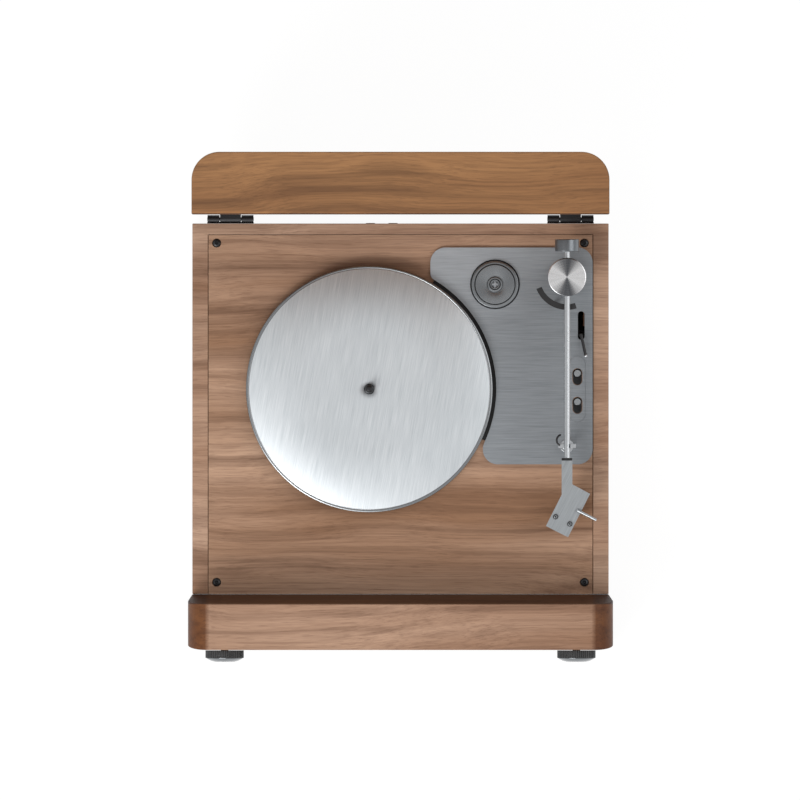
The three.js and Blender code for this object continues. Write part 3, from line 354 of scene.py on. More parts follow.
# Painted light on the lid's rim: a light line as painted highlight, and a dark line just below it as painted
# shade.
RIM_PAINTED_HIGHLIGHT = (2.6 * MM, 2.2 * MM)
RIM_PAINTED_SHADE = (1.2 * MM, 0.8 * MM)
SIDEWAYS, UPRIGHT = (0, 0, math.pi / 2), (0, math.pi / 2, 0)

walnut_deck = walnut("walnut_deck", (190, 156, 132), (150, 112, 86), (88, 56, 36), 0.5, centre=(0.3, 0.11, 0))
walnut_panel = walnut("walnut_panel", (190, 154, 128), (148, 110, 82), (84, 52, 32), 0.62,
                      centre=(0.22, 0.31, 0))
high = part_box("speaker_box")[1]
walnut_front = walnut("walnut_front", (180, 146, 122), (142, 106, 82), (84, 52, 34), 0.62,
                      centre=(0.15, 0.77, 0.31),
                      tints=[("|X", high.x - END_PAINTED_SHADE[0], high.x - END_PAINTED_SHADE[1], (0.42, 0.25, 0.11)),
                             ("Y", high.y - REAR_PAINTED_SHADE[0], high.y - REAR_PAINTED_SHADE[1], (0.24, 0.14, 0.06))])
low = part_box("lid_shell")[0]
LID_TONES = ((156, 112, 72), (126, 84, 50), (70, 42, 22), 0.6)
LID_CENTRE = (-0.7, 0.43, 0.05)
walnut_lid = walnut("walnut_lid", *LID_TONES, centre=LID_CENTRE,
                    tints=[("Y", low.y + RIM_PAINTED_HIGHLIGHT[0], low.y + RIM_PAINTED_HIGHLIGHT[1], (1.3, 1.28, 1.2)),
                           ("Y", low.y + RIM_PAINTED_SHADE[0], low.y + RIM_PAINTED_SHADE[1], (0.3, 0.25, 0.2))])

# Veneer on a side board runs along that board, so the sides of case and lid have their grain turned.
walnut_case_side = walnut("walnut_case_side", (184, 150, 126), (150, 112, 86), (88, 56, 36), 0.5,
                          turn=SIDEWAYS, centre=(0.3, 0.11, 0.4))
walnut_lid_side = walnut("walnut_lid_side", *LID_TONES, turn=UPRIGHT, centre=LID_CENTRE)
SIDE_FINISH = {"cabinet_case": walnut_case_side, "lid_shell": walnut_lid_side}
print("walnut for case, panel, front and lid")


# %% Metals: brushed along a line at an angle, and turned round an axis
def brushed(name, dark, bright, gloss, metallic=0.8, degrees=0, tints=()):
    return finish(name, brush_group, {"Dark": rgb(*dark), "Bright": rgb(*bright), "Gloss": gloss},
                  turn=(0, 0, math.radians(degrees)), metallic=metallic, bump=0.08, depth=0.02, tints=tints)


def turned(name, dark, bright, wedges, centre, degrees=0, bump=0.1, depth=0.02):
    return finish(name, turned_group, {"Dark": rgb(*dark), "Bright": rgb(*bright), "Wedges": wedges},
                  turn=(0, 0, math.radians(degrees)), centre=centre, metallic=1.0, bump=bump, depth=depth)


# Painted sheen: the plate's colour is lifted towards its rear and its left, a painted highlight on the
# brushed metal.
PLATE_PAINTED_SHEEN = [("Y", 0.07, 0.125, (1.35, 1.35, 1.35)), ("X", 0.10, 0.04, (1.2, 1.2, 1.2))]
PIVOT = middle(*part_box("arm_pivot_cap"))
plate_metal = brushed("plate_brushed", (128, 132, 136), (152, 156, 160), 0.12, tints=PLATE_PAINTED_SHEEN)
platter_metal = brushed("platter_brushed", (200, 206, 210), (226, 230, 233), 0.04, metallic=0.85, degrees=-80)
shell_metal = brushed("headshell_brushed", (146, 150, 153), (172, 176, 179), 0.1, degrees=-63)
# The cap's bright wedges are a painted highlight: a bow tie where lamps would catch its turned rings. The
# adapter's are fainter.
cap_metal = turned("cap_turned", (96, 98, 102), (246, 246, 247), 0.95, PIVOT)
adapter_metal = turned("adapter_turned", (118, 121, 124), (164, 167, 170), 0.35,
                       middle(*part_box("single_adapter")), degrees=70, bump=0.15, depth=0.03)


# %% Plain metals, plastics, rubber and paper, each with its own handling marks
def worn(name, colour, roughness, grain, amount, metallic=0.0, bump=0.1, depth=0.02):
    """grain is in grains to the metre, and depth in mm."""
    values = {"Color": rgb(*colour), "Roughness": roughness, "Grain": float(grain), "Amount": amount}
    return finish(name, wear_group, values, metallic=metallic, bump=bump, depth=depth)


bright_steel = worn("bright_steel", (206, 209, 212), 0.18, 500, 0.12, metallic=1.0, bump=0.05, depth=0.01)
tube_steel = worn("tube_steel", (196, 199, 202), 0.27, 700, 0.1, metallic=0.95, bump=0.04, depth=0.01)
# Chrome darkened for the knob caps: the low colour is a painted reflection of dark surroundings, in place of
# the white set they would reflect.
chrome_painted_dark_reflection = worn("chrome_painted_dark_reflection", (128, 131, 134), 0.13, 500, 0.12, metallic=1.0, bump=0.05, depth=0.01)
satin_steel = worn("satin_steel", (150, 153, 156), 0.34, 900, 0.22, metallic=1.0)
weight_metal = worn("weight_steel", (122, 126, 130), 0.32, 900, 0.2, metallic=1.0)
slot_metal = worn("slot_grey", (96, 99, 102), 0.4, 900, 0.2, metallic=0.6)
button_metal = worn("button_grey", (158, 162, 165), 0.34, 900, 0.15, metallic=0.8)
# A dark metal for the adapter's grooves: painted shade in their hollows.
groove_shade_metal = worn("groove_painted_shade", (48, 50, 52), 0.5, 900, 0.2, metallic=0.6)
brass = worn("brass", (196, 164, 104), 0.3, 900, 0.2, metallic=1.0)
black_plastic = worn("black_plastic", (34, 34, 36), 0.45, 2400, 0.25, bump=0.25, depth=0.03)
# The ribs are glossier than the knob's black, and their lighter grey is a painted highlight.
rib_black_painted_highlight = worn("rib_black_painted_highlight", (74, 76, 77), 0.3, 2400, 0.2, metallic=0.3, bump=0.15)
black_metal = worn("black_metal", (42, 42, 44), 0.34, 1500, 0.25, metallic=0.35, bump=0.15)
rubber = worn("rubber", (30, 30, 31), 0.8, 1800, 0.3, bump=0.4, depth=0.05)
board_green = worn("circuit_board", (46, 92, 62), 0.45, 300, 0.3, bump=0.3, depth=0.04)
cone_paper = worn("cone_paper", (36, 36, 38), 0.85, 3000, 0.4, bump=0.6, depth=0.1)
base_board = worn("base_board", (52, 44, 38), 0.75, 700, 0.4, bump=0.4, depth=0.08)
print("finishes:", len(bpy.data.materials))

# %% [markdown]
# ## Dressing the solids
# Most hidden parts keep their solid and only need a finish. A solid takes it in its own slot, and
# its mesh stays as it is.

# %% Give every solid its finish
SOLID_FINISH = {
    walnut_deck: ["cabinet_case"],
    walnut_panel: ["deck_panel"],
    walnut_front: ["speaker_box"],
    walnut_lid: ["lid_shell"],
    base_board: ["bottom_panel"],
    plate_metal: ["control_plate", "switch_strip"],
    platter_metal: ["platter"],
    shell_metal: ["headshell"],
    cap_metal: ["arm_pivot_cap"],
    adapter_metal: ["single_adapter"],
    bright_steel: ["arm_rest"],
    tube_steel: ["arm_tube"],
    chrome_painted_dark_reflection: ["volume_knob_cap", "source_knob_cap"],
    button_metal: ["speed_switch_button", "stop_switch_button", "finger_lift"],
    slot_metal: ["speed_switch_body", "stop_switch_body"],
    weight_metal: ["counterweight"],
    satin_steel: ["arm_base", "arm_yoke", "arm_hub", "drive_motor", "speaker_frame_left",
                  "speaker_frame_right"],
    brass: ["platter_bearing", "motor_pulley", "stylus"],
    rubber: ["rubber_foot_1", "rubber_foot_2", "rubber_foot_3", "rubber_foot_4", "drive_belt",
             "headshell_collar"],
    board_green: ["amplifier_board", "control_board"],
    cone_paper: ["speaker_cone_left", "speaker_cone_right", "speaker_grille"],
    black_metal: ["hinge_left_case_leaf", "hinge_left_lid_leaf", "hinge_right_case_leaf",
                  "hinge_right_lid_leaf", "deck_screw_1", "deck_screw_2", "deck_screw_3", "deck_screw_4",
                  "platter_spindle"],
}
FINISH_OF = {name: material for material, names in SOLID_FINISH.items() for name in names}


def put_finish(obj, material):
    if obj.data.materials:
        for slot in obj.material_slots:
            slot.material = material
    else:
        obj.data.materials.append(material)


for name, obj in NODES.items():
    put_finish(obj, FINISH_OF.setdefault(name, black_plastic))
print("finished", len(NODES), "solids")

# %% [markdown]
# ## Eased edges
# A solid model has knife edges and flat facets. A real board has a small round along each edge that
# catches a line of light, and a turned part is smooth. Each part in view gets a copy with its loose
# triangles merged, its sharp edges bevelled by 0.15 to 1.6 mm and its faces shaded smooth, and the
# copy stands for the solid.

# %% Copy a solid, merge it, bevel its sharp edges and shade it smooth
BODY_OF = {name: body for body, names in frame["record"]["behaviour"]["bodies"].items() for name in names}
MERGE = 0.002 * MM
FLAT_WITHIN = math.radians(0.6)
SHARP = math.radians(32)
SIDE_FACING = 0.8


def linked(name, mesh):
    obj = bpy.data.objects.new(name, mesh)
    bpy.context.scene.collection.objects.link(obj)
    return obj


def baked(obj, name):
    """The object's evaluated mesh as a new plain object, with no modifiers left."""
    bpy.context.view_layer.update()
    graph = bpy.context.evaluated_depsgraph_get()
    mesh = bpy.data.meshes.new_from_object(obj.evaluated_get(graph))
    bpy.data.objects.remove(obj)
    mesh.name = name
    return linked(name, mesh)


def add_bevel(obj, width):
    bevel = obj.modifiers.new("ease", "BEVEL")
    bevel.width = width
    bevel.segments = 2
    return bevel


def eased(node, width):
    mesh = NODES[node].data.copy()
    form = bmesh.new()
    form.from_mesh(mesh)
    bmesh.ops.remove_doubles(form, verts=form.verts, dist=MERGE)
    bmesh.ops.dissolve_limit(form, angle_limit=FLAT_WITHIN, verts=form.verts, edges=form.edges)
    for face in form.faces:
        face.smooth = True
    form.to_mesh(mesh)
    form.free()
    copy = linked(node + "_eased", mesh)
    bevel = add_bevel(copy, width)
    bevel.limit_method = "ANGLE"
    bevel.angle_limit = SHARP
    bevel.use_clamp_overlap = True
    even = copy.modifiers.new("even", "WEIGHTED_NORMAL")
    even.mode = "FACE_AREA"
    even.weight = 100
    even.keep_sharp = True
    plain = baked(copy, node + "_eased")
    put_finish(plain, FINISH_OF[node])
    if node in SIDE_FINISH:
        plain.data.materials.append(SIDE_FINISH[node])
        for face in plain.data.polygons:
            face.material_index = 1 if abs(face.normal.x) > SIDE_FACING else 0
    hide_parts(node)
    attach(plain, BODY_OF[node])
    return plain


EASED_MM = {
    0.15: ["switch_strip"],
    0.2: ["finger_lift", "line_sockets"],
    0.25: ["cue_lever", "hinge_left_case_leaf", "hinge_left_lid_leaf", "hinge_right_case_leaf",
           "hinge_right_lid_leaf"],
    0.3: ["deck_panel", "arm_base", "arm_pivot_cap", "headshell_collar", "arm_rest", "speed_switch_button",
          "stop_switch_button", "volume_knob_cap", "source_knob_cap", "platter_spindle", "rear_panel",
          "power_inlet", "arm_hub"],
    0.35: ["control_plate"],
    0.4: ["arm_yoke", "cartridge"],
    0.5: ["cabinet_case", "counterweight", "headshell"],
    0.6: ["lift_bar", "rubber_foot_1", "rubber_foot_2", "rubber_foot_3", "rubber_foot_4"],
    1.1: ["lid_shell"],
    1.6: ["speaker_box"],
}
pieces = [eased(node, width * MM) for width, nodes in EASED_MM.items() for node in nodes]
print("eased", len(pieces), "parts,", sum(len(p.data.polygons) for p in pieces), "faces")

# %% [markdown]
# ## The platter
# The platter is a turned disc: a flat brushed top, a fine bright edge, and a rim and side in a darker
# copy of its metal, which is painted shade. A turned shape follows one rule, a profile swept round an
# axis, so it is made by that rule with many steps, smooth even at its outline.


# %% Helpers that close a form, shade it and sweep a profile round an upright axis
def spokes(steps):
    return [(math.cos(2 * math.pi * i / steps), math.sin(2 * math.pi * i / steps)) for i in range(steps)]


def skin(form, rows):
    """Faces between each row of corners and the next, and one face over each end."""
    for one, two in zip(rows, rows[1:]):
        for i in range(len(one)):
            j = (i + 1) % len(one)
            form.faces.new((one[i], one[j], two[j], two[i]))
    form.faces.new(rows[0])
    form.faces.new(list(reversed(rows[-1])))


def shade_smooth(form, sharp=SHARP):
    bmesh.ops.recalc_face_normals(form, faces=form.faces)
    for face in form.faces:
        face.smooth = True
    for edge in form.edges:
        if len(edge.link_faces) == 2 and edge.calc_face_angle(0) > sharp:
            edge.smooth = False


def formed(name, form, *materials, outward=True):
    """The form as an object in the scene, with its faces turned outward."""
    if outward:
        bmesh.ops.recalc_face_normals(form, faces=form.faces)
    mesh = bpy.data.meshes.new(name)
    form.to_mesh(mesh)
    form.free()
    for material in materials:
        mesh.materials.append(material)
    return linked(name, mesh)


def turned_form(name, profile, centre, steps, *materials, hole=False):
    """profile is [radius, height] in mm from the lowest point round, and hole closes it on itself."""
    form = bmesh.new()
    loops = []
    for radius, height in profile:
        loops.append([form.verts.new((centre[0] + radius * MM * c, centre[1] + radius * MM * s, height * MM))
                      for c, s in (spokes(steps) if radius else [(0, 0)])])
    for low, high in zip(loops, loops[1:] + ([loops[0]] if hole else [])):
        for i in range(steps):
            j = (i + 1) % steps
            corner = [low[i % len(low)], low[j % len(low)], high[j % len(high)], high[i % len(high)]]
            unique = list(dict.fromkeys(corner))
            if len(unique) > 2:
                form.faces.new(unique)
    shade_smooth(form)
    return formed(name, form, *materials)


# %% Turn the platter, and paint shade on its rim and side with a darker copy of its metal
low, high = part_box("platter")
PLATTER = ((low.x + high.x) / 2, (low.y + high.y) / 2)
R = (high.x - low.x) / 2 / MM
top, bottom = high.z / MM, low.z / MM
bore = 4.05
BEAD = 2.55
TOP_FACING = 0.5
platter_side_painted_shade = turned("platter_side_painted_shade", (120, 123, 126), (168, 170, 172), 0.0, (*PLATTER, 0.08))
platter = turned_form("platter_disc", [
    [bore, bottom], [R - 3.2, bottom], [R - 2.0, bottom + 0.3], [R, bottom + 1.8], [R, top - 0.9],
    [R - 0.25, top - 0.35], [R - 0.8, top - 0.05], [R - 1.6, top], [R - 2.1, top - 0.22], [R - 2.6, top],
    [R * 0.5, top], [9.0, top], [bore + 0.5, top], [bore, top - 0.3]],
    PLATTER, 256, platter_metal, platter_side_painted_shade, hole=True)


def reach_of(face, centre):
    return math.hypot(face.center.x - centre[0], face.center.y - centre[1]) / MM


# Faces near the rim or facing sideways take the darker copy: painted shade.
for face in platter.data.polygons:
    side = reach_of(face, PLATTER) > R - BEAD or face.normal.z < TOP_FACING
    face.material_index = 1 if side else 0
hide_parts("platter")
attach(platter, "turntable")
print("platter radius", round(R, 1), "mm")

# %% [markdown]
# ## The single adapter and its dish
# The adapter is a turned metal disc for records with a wide middle hole. It lies in a round dish of
# the plate on a black ring, a painted shadow that shows as a dark line round it. Turning gives it a
# flat rim, a fine groove, a hollow cone and a raised middle, which is again a profile swept round an axis.

# %% Turn the adapter, and lay the black ring of painted shadow in its dish
low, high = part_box("single_adapter")
SPOT = ((low.x + high.x) / 2, (low.y + high.y) / 2)
r, lo, hi = (high.x - low.x) / 2 / MM, low.z / MM, high.z / MM
adapter = turned_form("adapter_disc", [
    [2.72, lo], [r, lo], [r, hi - 0.7], [r - 0.25, hi - 0.3], [r - 0.9, hi - 0.12], [r - 2.3, hi - 0.12],
    [r - 2.5, hi - 0.9], [r - 3.0, hi - 0.9], [r - 3.2, hi - 0.2], [r - 3.5, hi - 0.12], [7.4, hi - 1.9],
    [6.3, hi - 2.0], [6.1, hi - 0.5], [5.8, hi - 0.1], [5.2, hi], [4.6, hi], [4.4, hi - 0.5], [3.9, hi - 0.5],
    [3.7, hi], [3.1, hi], [2.72, hi - 0.3]], SPOT, 128, adapter_metal, groove_shade_metal, hole=True)
# The grooves take the dark metal, as painted shade.
GROOVES = [(r - 3.25, r - 2.25), (6.0, 6.45), (3.75, 4.5)]
for face in adapter.data.polygons:
    reach = reach_of(face, SPOT)
    if any(inner < reach < outer for inner, outer in GROOVES):
        face.material_index = 1
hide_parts("single_adapter")
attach(adapter, "adapter")

DECK = 75.0
# The black ring stands for the shadow in the gap round the adapter: a painted shadow.
dish_ring = turned_form("dish_ring", [
    [r + 0.12, DECK + 1.0], [r + 1.06, DECK + 1.0], [r + 1.06, DECK + 2.1], [r + 0.9, DECK + 2.2],
    [r + 0.3, DECK + 2.2], [r + 0.12, DECK + 2.05]], SPOT, 96, rubber, hole=True)
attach(dish_ring, "cabinet")

# %% [markdown]
# ## A painted shadow between platter and plate
# The plate is cut round the platter, and the gap between them shows black, in shade. A black strip lies
# there on the deck as a painted shadow, an arc of a flat ring with its corners eased. A second, straight
# strip closes the thin seam between the case and the speaker box.


# %% Lay the painted shadow along the plate's round edge, and the strip along the seam
def arc_strip(name, centre, inner, outer, z0, z1, start, end, material, steps=48, ease=0.15):
    outline = [(inner, z0), (outer, z0), (outer, z1 - ease), (outer - ease, z1), (inner + ease, z1),
               (inner, z1 - ease)]
    form = bmesh.new()
    rows = []
    for i in range(steps + 1):
        turn = math.radians(start + (end - start) * i / steps)
        rows.append([form.verts.new((centre[0] + q * MM * math.cos(turn), centre[1] + q * MM * math.sin(turn),
                                     z * MM)) for q, z in outline])
    skin(form, rows)
    return formed(name, form, material)


def slim_strip(name, low, high, material, ease_share=0.25):
    """A straight strip between two corners, with its long edges eased."""
    form = bmesh.new()
    (x0, y0, z0), (x1, y1, z1) = low, high
    ease = min(y1 - y0, z1 - z0) * ease_share
    outline = [(y0, z0 + ease), (y0 + ease, z0), (y1 - ease, z0), (y1, z0 + ease), (y1, z1 - ease),
               (y1 - ease, z1), (y0 + ease, z1), (y0, z1 - ease)]
    skin(form, [[form.verts.new((x, y, z)) for y, z in outline] for x in (x0, x1)])
    return formed(name, form, material)


SEAM_HALF = 165.7 * MM
SEAM_CLEAR = 0.03 * MM
SEAM_INSET = 0.5 * MM
case_low, case_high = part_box("cabinet_case")
box_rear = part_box("speaker_box")[1].y
seam = slim_strip("case_seam", (-SEAM_HALF, box_rear + SEAM_CLEAR, case_low.z + SEAM_INSET),
                  (SEAM_HALF, case_low.y - SEAM_CLEAR, case_high.z - SEAM_INSET), rubber)
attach(seam, "cabinet")
# A black strip in the gap round the platter: a painted shadow.
gap_shadow_strip = arc_strip("gap_liner", PLATTER, R - 3.0, R + 2.8, DECK + 0.02, DECK + 1.4, -24, 59, rubber)
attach(gap_shadow_strip, "cabinet")
print("adapter, dish ring, liner and seam strip")

# %% [markdown]
# ## Screws
# Small black screws hold the deck, and two more hold the cartridge. They repeat, so Geometry Nodes
# place them: one head with a cross recess is modelled once, a cloud of points says where it goes,
# and the tree puts a copy on every point.


# %% One screw head with a cross recess
HEAD_PROFILE = [(1.0, 0.0), (1.0, 0.28), (0.93, 0.6), (0.72, 0.88), (0.4, 1.0)]
HEAD_STEPS = 24
HEAD_SHARP = math.radians(35)
CROSS_ARM, CROSS_WAIST, CROSS_FLOOR = 0.36, 0.14, 0.45


def screw_head(name, radius, height):
    """The profile and the cross are in shares of the radius and the height."""
    form = bmesh.new()
    around = spokes(HEAD_STEPS)
    rows = [[form.verts.new((radius * share * c, radius * share * s, height * up)) for c, s in around]
            for share, up in HEAD_PROFILE]
    recess = []
    for i, (c, s) in enumerate(around):
        cross = radius * (CROSS_WAIST if i % (HEAD_STEPS // 4) else CROSS_ARM)
        recess.append(form.verts.new((cross * c, cross * s, height * CROSS_FLOOR)))
    skin(form, rows + [recess])
    shade_smooth(form, HEAD_SHARP)
    return formed(name, form)


# %% A tree that puts one shape on every point
def copies_tree(name):
    group = bpy.data.node_groups.new(name, "GeometryNodeTree")
    kinds = {"Points": "Geometry", "Shape": "Object", "Size": "Float", "Finish": "Material"}
    for label, kind in kinds.items():
        group.interface.new_socket(name=label, in_out="INPUT", socket_type="NodeSocket" + kind)
    group.interface.new_socket(name="Geometry", in_out="OUTPUT", socket_type="NodeSocketGeometry")
    given = group.nodes.new("NodeGroupInput").outputs
    shape = add_node(group, "GeometryNodeObjectInfo", Object=given["Shape"]).outputs["Geometry"]
    turn = add_node(group, "GeometryNodeInputNamedAttribute", {"data_type": "FLOAT_VECTOR"}, Name="turn")
    spin = add_node(group, "FunctionNodeEulerToRotation", i0=turn.outputs["Attribute"]).outputs[0]
    put = add_node(group, "GeometryNodeInstanceOnPoints", Points=given["Points"], Instance=shape,
                   Rotation=spin, Scale=given["Size"]).outputs["Instances"]
    real = add_node(group, "GeometryNodeRealizeInstances", Geometry=put).outputs["Geometry"]
    paint = add_node(group, "GeometryNodeSetMaterial", Geometry=real, Material=given["Finish"])
    add_node(group, "NodeGroupOutput", Geometry=paint.outputs["Geometry"])
    return group


COPIES = copies_tree("copies_on_points")


def copies(name, shape, points, turns, material, body):
    mesh = bpy.data.meshes.new(name)
    mesh.from_pydata(points, [], [])
    attribute = mesh.attributes.new("turn", "FLOAT_VECTOR", "POINT")
    for i, turn in enumerate(turns):
        attribute.data[i].vector = turn
    holder = linked(name, mesh)
    modifier = holder.modifiers.new("copies", "NODES")
    modifier.node_group = COPIES
    values = {"Shape": shape, "Size": 1.0, "Finish": material}
    for item in COPIES.interface.items_tree:
        if item.in_out == "INPUT" and item.name in values:
            modifier[item.identifier] = values[item.name]
    plain = baked(holder, name)
    put_finish(plain, material)
    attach(plain, body)
    bpy.data.objects.remove(shape)
    return plain


# %% Deck screws, each with its cross turned another way
DECK_HEAD, DECK_HEAD_TALL, DECK_HEAD_SUNK = 3.25 * MM, 1.5 * MM, 1.3 * MM
screw_boxes = [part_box(f"deck_screw_{i}") for i in (1, 2, 3, 4)]
deck_screws = copies(
    "deck_screws", screw_head("deck_head", DECK_HEAD, DECK_HEAD_TALL),
    [((lo.x + hi.x) / 2, (lo.y + hi.y) / 2, hi.z - DECK_HEAD_SUNK) for lo, hi in screw_boxes],
    [(0, 0, 0.3 + 0.9 * i) for i in range(4)], black_metal, "cabinet")
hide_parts("deck_screw_1", "deck_screw_2", "deck_screw_3", "deck_screw_4")

# %% Cartridge screws, placed from the toe of the slanted headshell
BLADE_TURN = math.radians(27)
BLADE_REACH = 39 * MM
SCREW_BACK, SCREW_ASIDE, SCREW_APART = 10.1 * MM, 9.9 * MM, 12.7 * MM
SMALL_HEAD, SMALL_HEAD_TALL, SMALL_HEAD_LIFT = 2.0 * MM, 0.85 * MM, 0.12 * MM
shell_low, shell_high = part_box("headshell")
down = Vector((-math.sin(BLADE_TURN), -math.cos(BLADE_TURN), 0))
across = Vector((math.cos(BLADE_TURN), -math.sin(BLADE_TURN), 0))
toe = Vector((shell_high.x + down.x * BLADE_REACH, shell_low.y, shell_high.z + SMALL_HEAD_LIFT))
cartridge_screws = copies(
    "cartridge_screws", screw_head("small_head", SMALL_HEAD, SMALL_HEAD_TALL),
    [tuple(toe + across * (side * SCREW_APART / 2 - SCREW_ASIDE) - down * SCREW_BACK) for side in (-1, 1)],
    [(0, 0, 0.5), (0, 0, 1.1)], satin_steel, "tonearm")
print("screws:", len(deck_screws.data.polygons), "and", len(cartridge_screws.data.polygons), "faces")

# %% [markdown]
# ## Knobs
# Each knob is a black collar with fine ribs for the fingers and a bright domed end. The ribs follow
# a rule, one rounded bar at equal steps round a circle, so the same tree sets them out. The collar
# under them is turned.

# %% Ribs on a circle, round the knobs' own axis
RIBS = 54
RIB_STEPS = 6
RIB_SHARE = 0.62
RIB_TALL = 0.68 * MM
RIB_SHORT = 0.3 * MM
RIB_SUNK = 0.02 * MM
COLLAR_INSET = 0.7 * MM
COLLAR_LIP = 1.5 * MM
BOX_CLEAR = 0.3 * MM
CAP_CLEAR, CAP_SEAT = 0.08, 0.05
STUB_RADIUS, STUB_LONG = 3.0, 9.2


def rib_shape(name, width, depth, length):
    form = bmesh.new()
    arch = [math.pi * i / RIB_STEPS for i in range(RIB_STEPS + 1)]
    skin(form, [[form.verts.new((width / 2 * math.cos(a), y, depth * math.sin(a))) for a in arch]
                for y in (0.0, -length)])
    return formed(name, form)


def joined(name, objects, body):
    """One plain mesh from several that sit at the origin."""
    form = bmesh.new()
    materials = []
    for obj in objects:
        start = len(form.faces)
        form.from_mesh(obj.data)
        form.faces.ensure_lookup_table()
        material = obj.data.materials[0]
        if material not in materials:
            materials.append(material)
        for face in form.faces[start:]:
            face.material_index = materials.index(material)
        bpy.data.objects.remove(obj)
    whole = formed(name, form, *materials, outward=False)
    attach(whole, body)
    return whole


def lie_back(obj, x, y, z):
    """Turn an upright form so that its top points to the front, and move its foot to a place."""
    obj.data.transform(Matrix.Translation((x, y, z)) @ Matrix.Rotation(math.pi / 2, 4, "X"))
    return obj


def knob(name, body):
    low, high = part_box(name)
    cap_low, cap_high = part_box(name + "_cap")
    x, z = (cap_low.x + cap_high.x) / 2, (cap_low.z + cap_high.z) / 2
    radius = (high.z - low.z) / 2 - COLLAR_INSET
    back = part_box("speaker_box")[0].y - BOX_CLEAR
    length = back - (cap_high.y - COLLAR_LIP)
    seat = (back - cap_high.y) / MM - CAP_SEAT
    cap_r = (cap_high.z - cap_low.z) / 2 / MM + CAP_CLEAR
    wide, long = radius / MM, length / MM
    collar = turned_form(name + "_collar", [[0, 0], [wide - 0.5, 0], [wide, 0.5], [wide, long - 0.6],
                                            [wide - 0.25, long], [cap_r, long], [cap_r, seat], [0, seat]],
                         (0, 0), 96, black_plastic)
    shape = rib_shape(name + "_rib", 2 * math.pi * radius / RIBS * RIB_SHARE, RIB_TALL, length - RIB_SHORT)
    turns = [2 * math.pi * i / RIBS for i in range(RIBS)]
    ring = radius - RIB_SUNK
    points = [(x + ring * math.sin(a), back, z + ring * math.cos(a)) for a in turns]
    ribs = copies(name + "_ribs", shape, points, [(0, a, 0) for a in turns], rib_black_painted_highlight, body)
    stub = turned_form(name + "_stub", [[0, 0], [STUB_RADIUS, 0], [STUB_RADIUS, STUB_LONG], [0, STUB_LONG]],
                       (0, 0), 32, black_plastic)
    parts = [lie_back(collar, x, back, z), ribs, lie_back(stub, x, back + STUB_LONG * MM, z)]
    whole = joined(name + "_ribbed", parts, body)
    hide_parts(name)
    return whole


for name, body in (("volume_knob", "volume_control"), ("source_knob", "source_control")):
    made = knob(name, body)
    print(name, len(made.data.polygons), "faces")

# %% [markdown]
# ## The arm's small fittings
# Three slender pieces make the arm read true from above: the chrome tube, round all the way, the dark
# hook on the arm rest that holds the tube, and the bright tip of the cue lever. The tube is turned like
# the platter. A bent rod is best made by a sweep of a circle along a short path.


# %% A helper that sweeps a round bar along points
def bent_rod(name, points, radius, material, steps=12):
    form = bmesh.new()
    rows = []
    points = [Vector(p) for p in points]
    side = (points[1] - points[0]).orthogonal()
    for i, point in enumerate(points):
        ahead = (points[min(i + 1, len(points) - 1)] - points[max(i - 1, 0)]).normalized()
        side = (side - ahead * side.dot(ahead)).normalized()
        up = ahead.cross(side)
        rows.append([form.verts.new(point + (side * c + up * s) * radius) for c, s in spokes(steps)])
    skin(form, rows)
    for face in form.faces:
        face.smooth = len(face.verts) == 4
    return formed(name, form, material)


# %% The chrome tube, round all the way
TUBE_EASE = 0.2
low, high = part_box("arm_tube")
tube_r, tube_long = (high.x - low.x) / 2 / MM, (high.y - low.y) / MM
tube = turned_form("arm_tube_round", [
    [0, 0], [tube_r - TUBE_EASE, 0], [tube_r, TUBE_EASE], [tube_r, tube_long / 2],
    [tube_r, tube_long - TUBE_EASE], [tube_r - TUBE_EASE, tube_long], [0, tube_long]], (0, 0), 64, tube_steel)
lie_back(tube, (low.x + high.x) / 2, high.y, (low.z + high.z) / 2)
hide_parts("arm_tube")
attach(tube, BODY_OF["arm_tube"])

# %% Hook of the arm rest
HOOK_SHARE = 0.86
HOOK_STEPS = 12
HOOK_START, HOOK_SWEEP = 100, 150
HOOK_WIDE, HOOK_DEEP = 4.0 * MM, 4.4 * MM
low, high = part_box("arm_rest")
hook_middle = (PIVOT[0] - 4.2 * MM, (low.y + high.y) / 2 + 4.6 * MM)
hook_z = low.z + (high.z - low.z) * HOOK_SHARE
hook_turns = [math.radians(HOOK_START + HOOK_SWEEP * i / HOOK_STEPS) for i in range(HOOK_STEPS + 1)]
hook_path = [(hook_middle[0] + HOOK_WIDE * math.cos(a), hook_middle[1] + HOOK_DEEP * math.sin(a), hook_z)
             for a in hook_turns]
hook = bent_rod("rest_hook", hook_path, 0.8 * MM, black_metal)
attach(hook, "cabinet")

# %% Bright tip of the cue lever
low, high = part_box("cue_lever")
tip = Vector(((low.x + high.x) / 2 + 4.1 * MM, low.y + 0.9 * MM, high.z - 1.2 * MM))
tip_path = [tip + Vector((-0.25, 0.9, -0.1)) * MM, tip, tip + Vector((0.25, -0.8, 0.1)) * MM]
tip_piece = bent_rod("lever_tip", tip_path, 1.35 * MM, bright_steel)
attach(tip_piece, "cue")
print("hook and lever tip")

# %% [markdown]
# ## The speaker cloth
# The front face isn't seen in the photograph. Such a player has a speaker cloth there, so one panel of
# cloth is stretched over the opening, held at its edges by a thin frame behind it. Taut cloth is nearly
# flat, with a slight crown where nothing holds it, so a fine grid with a crown stands for it. Its threads
# are far finer than the grid, so the weave is in the material: two sets of threads, over and under.

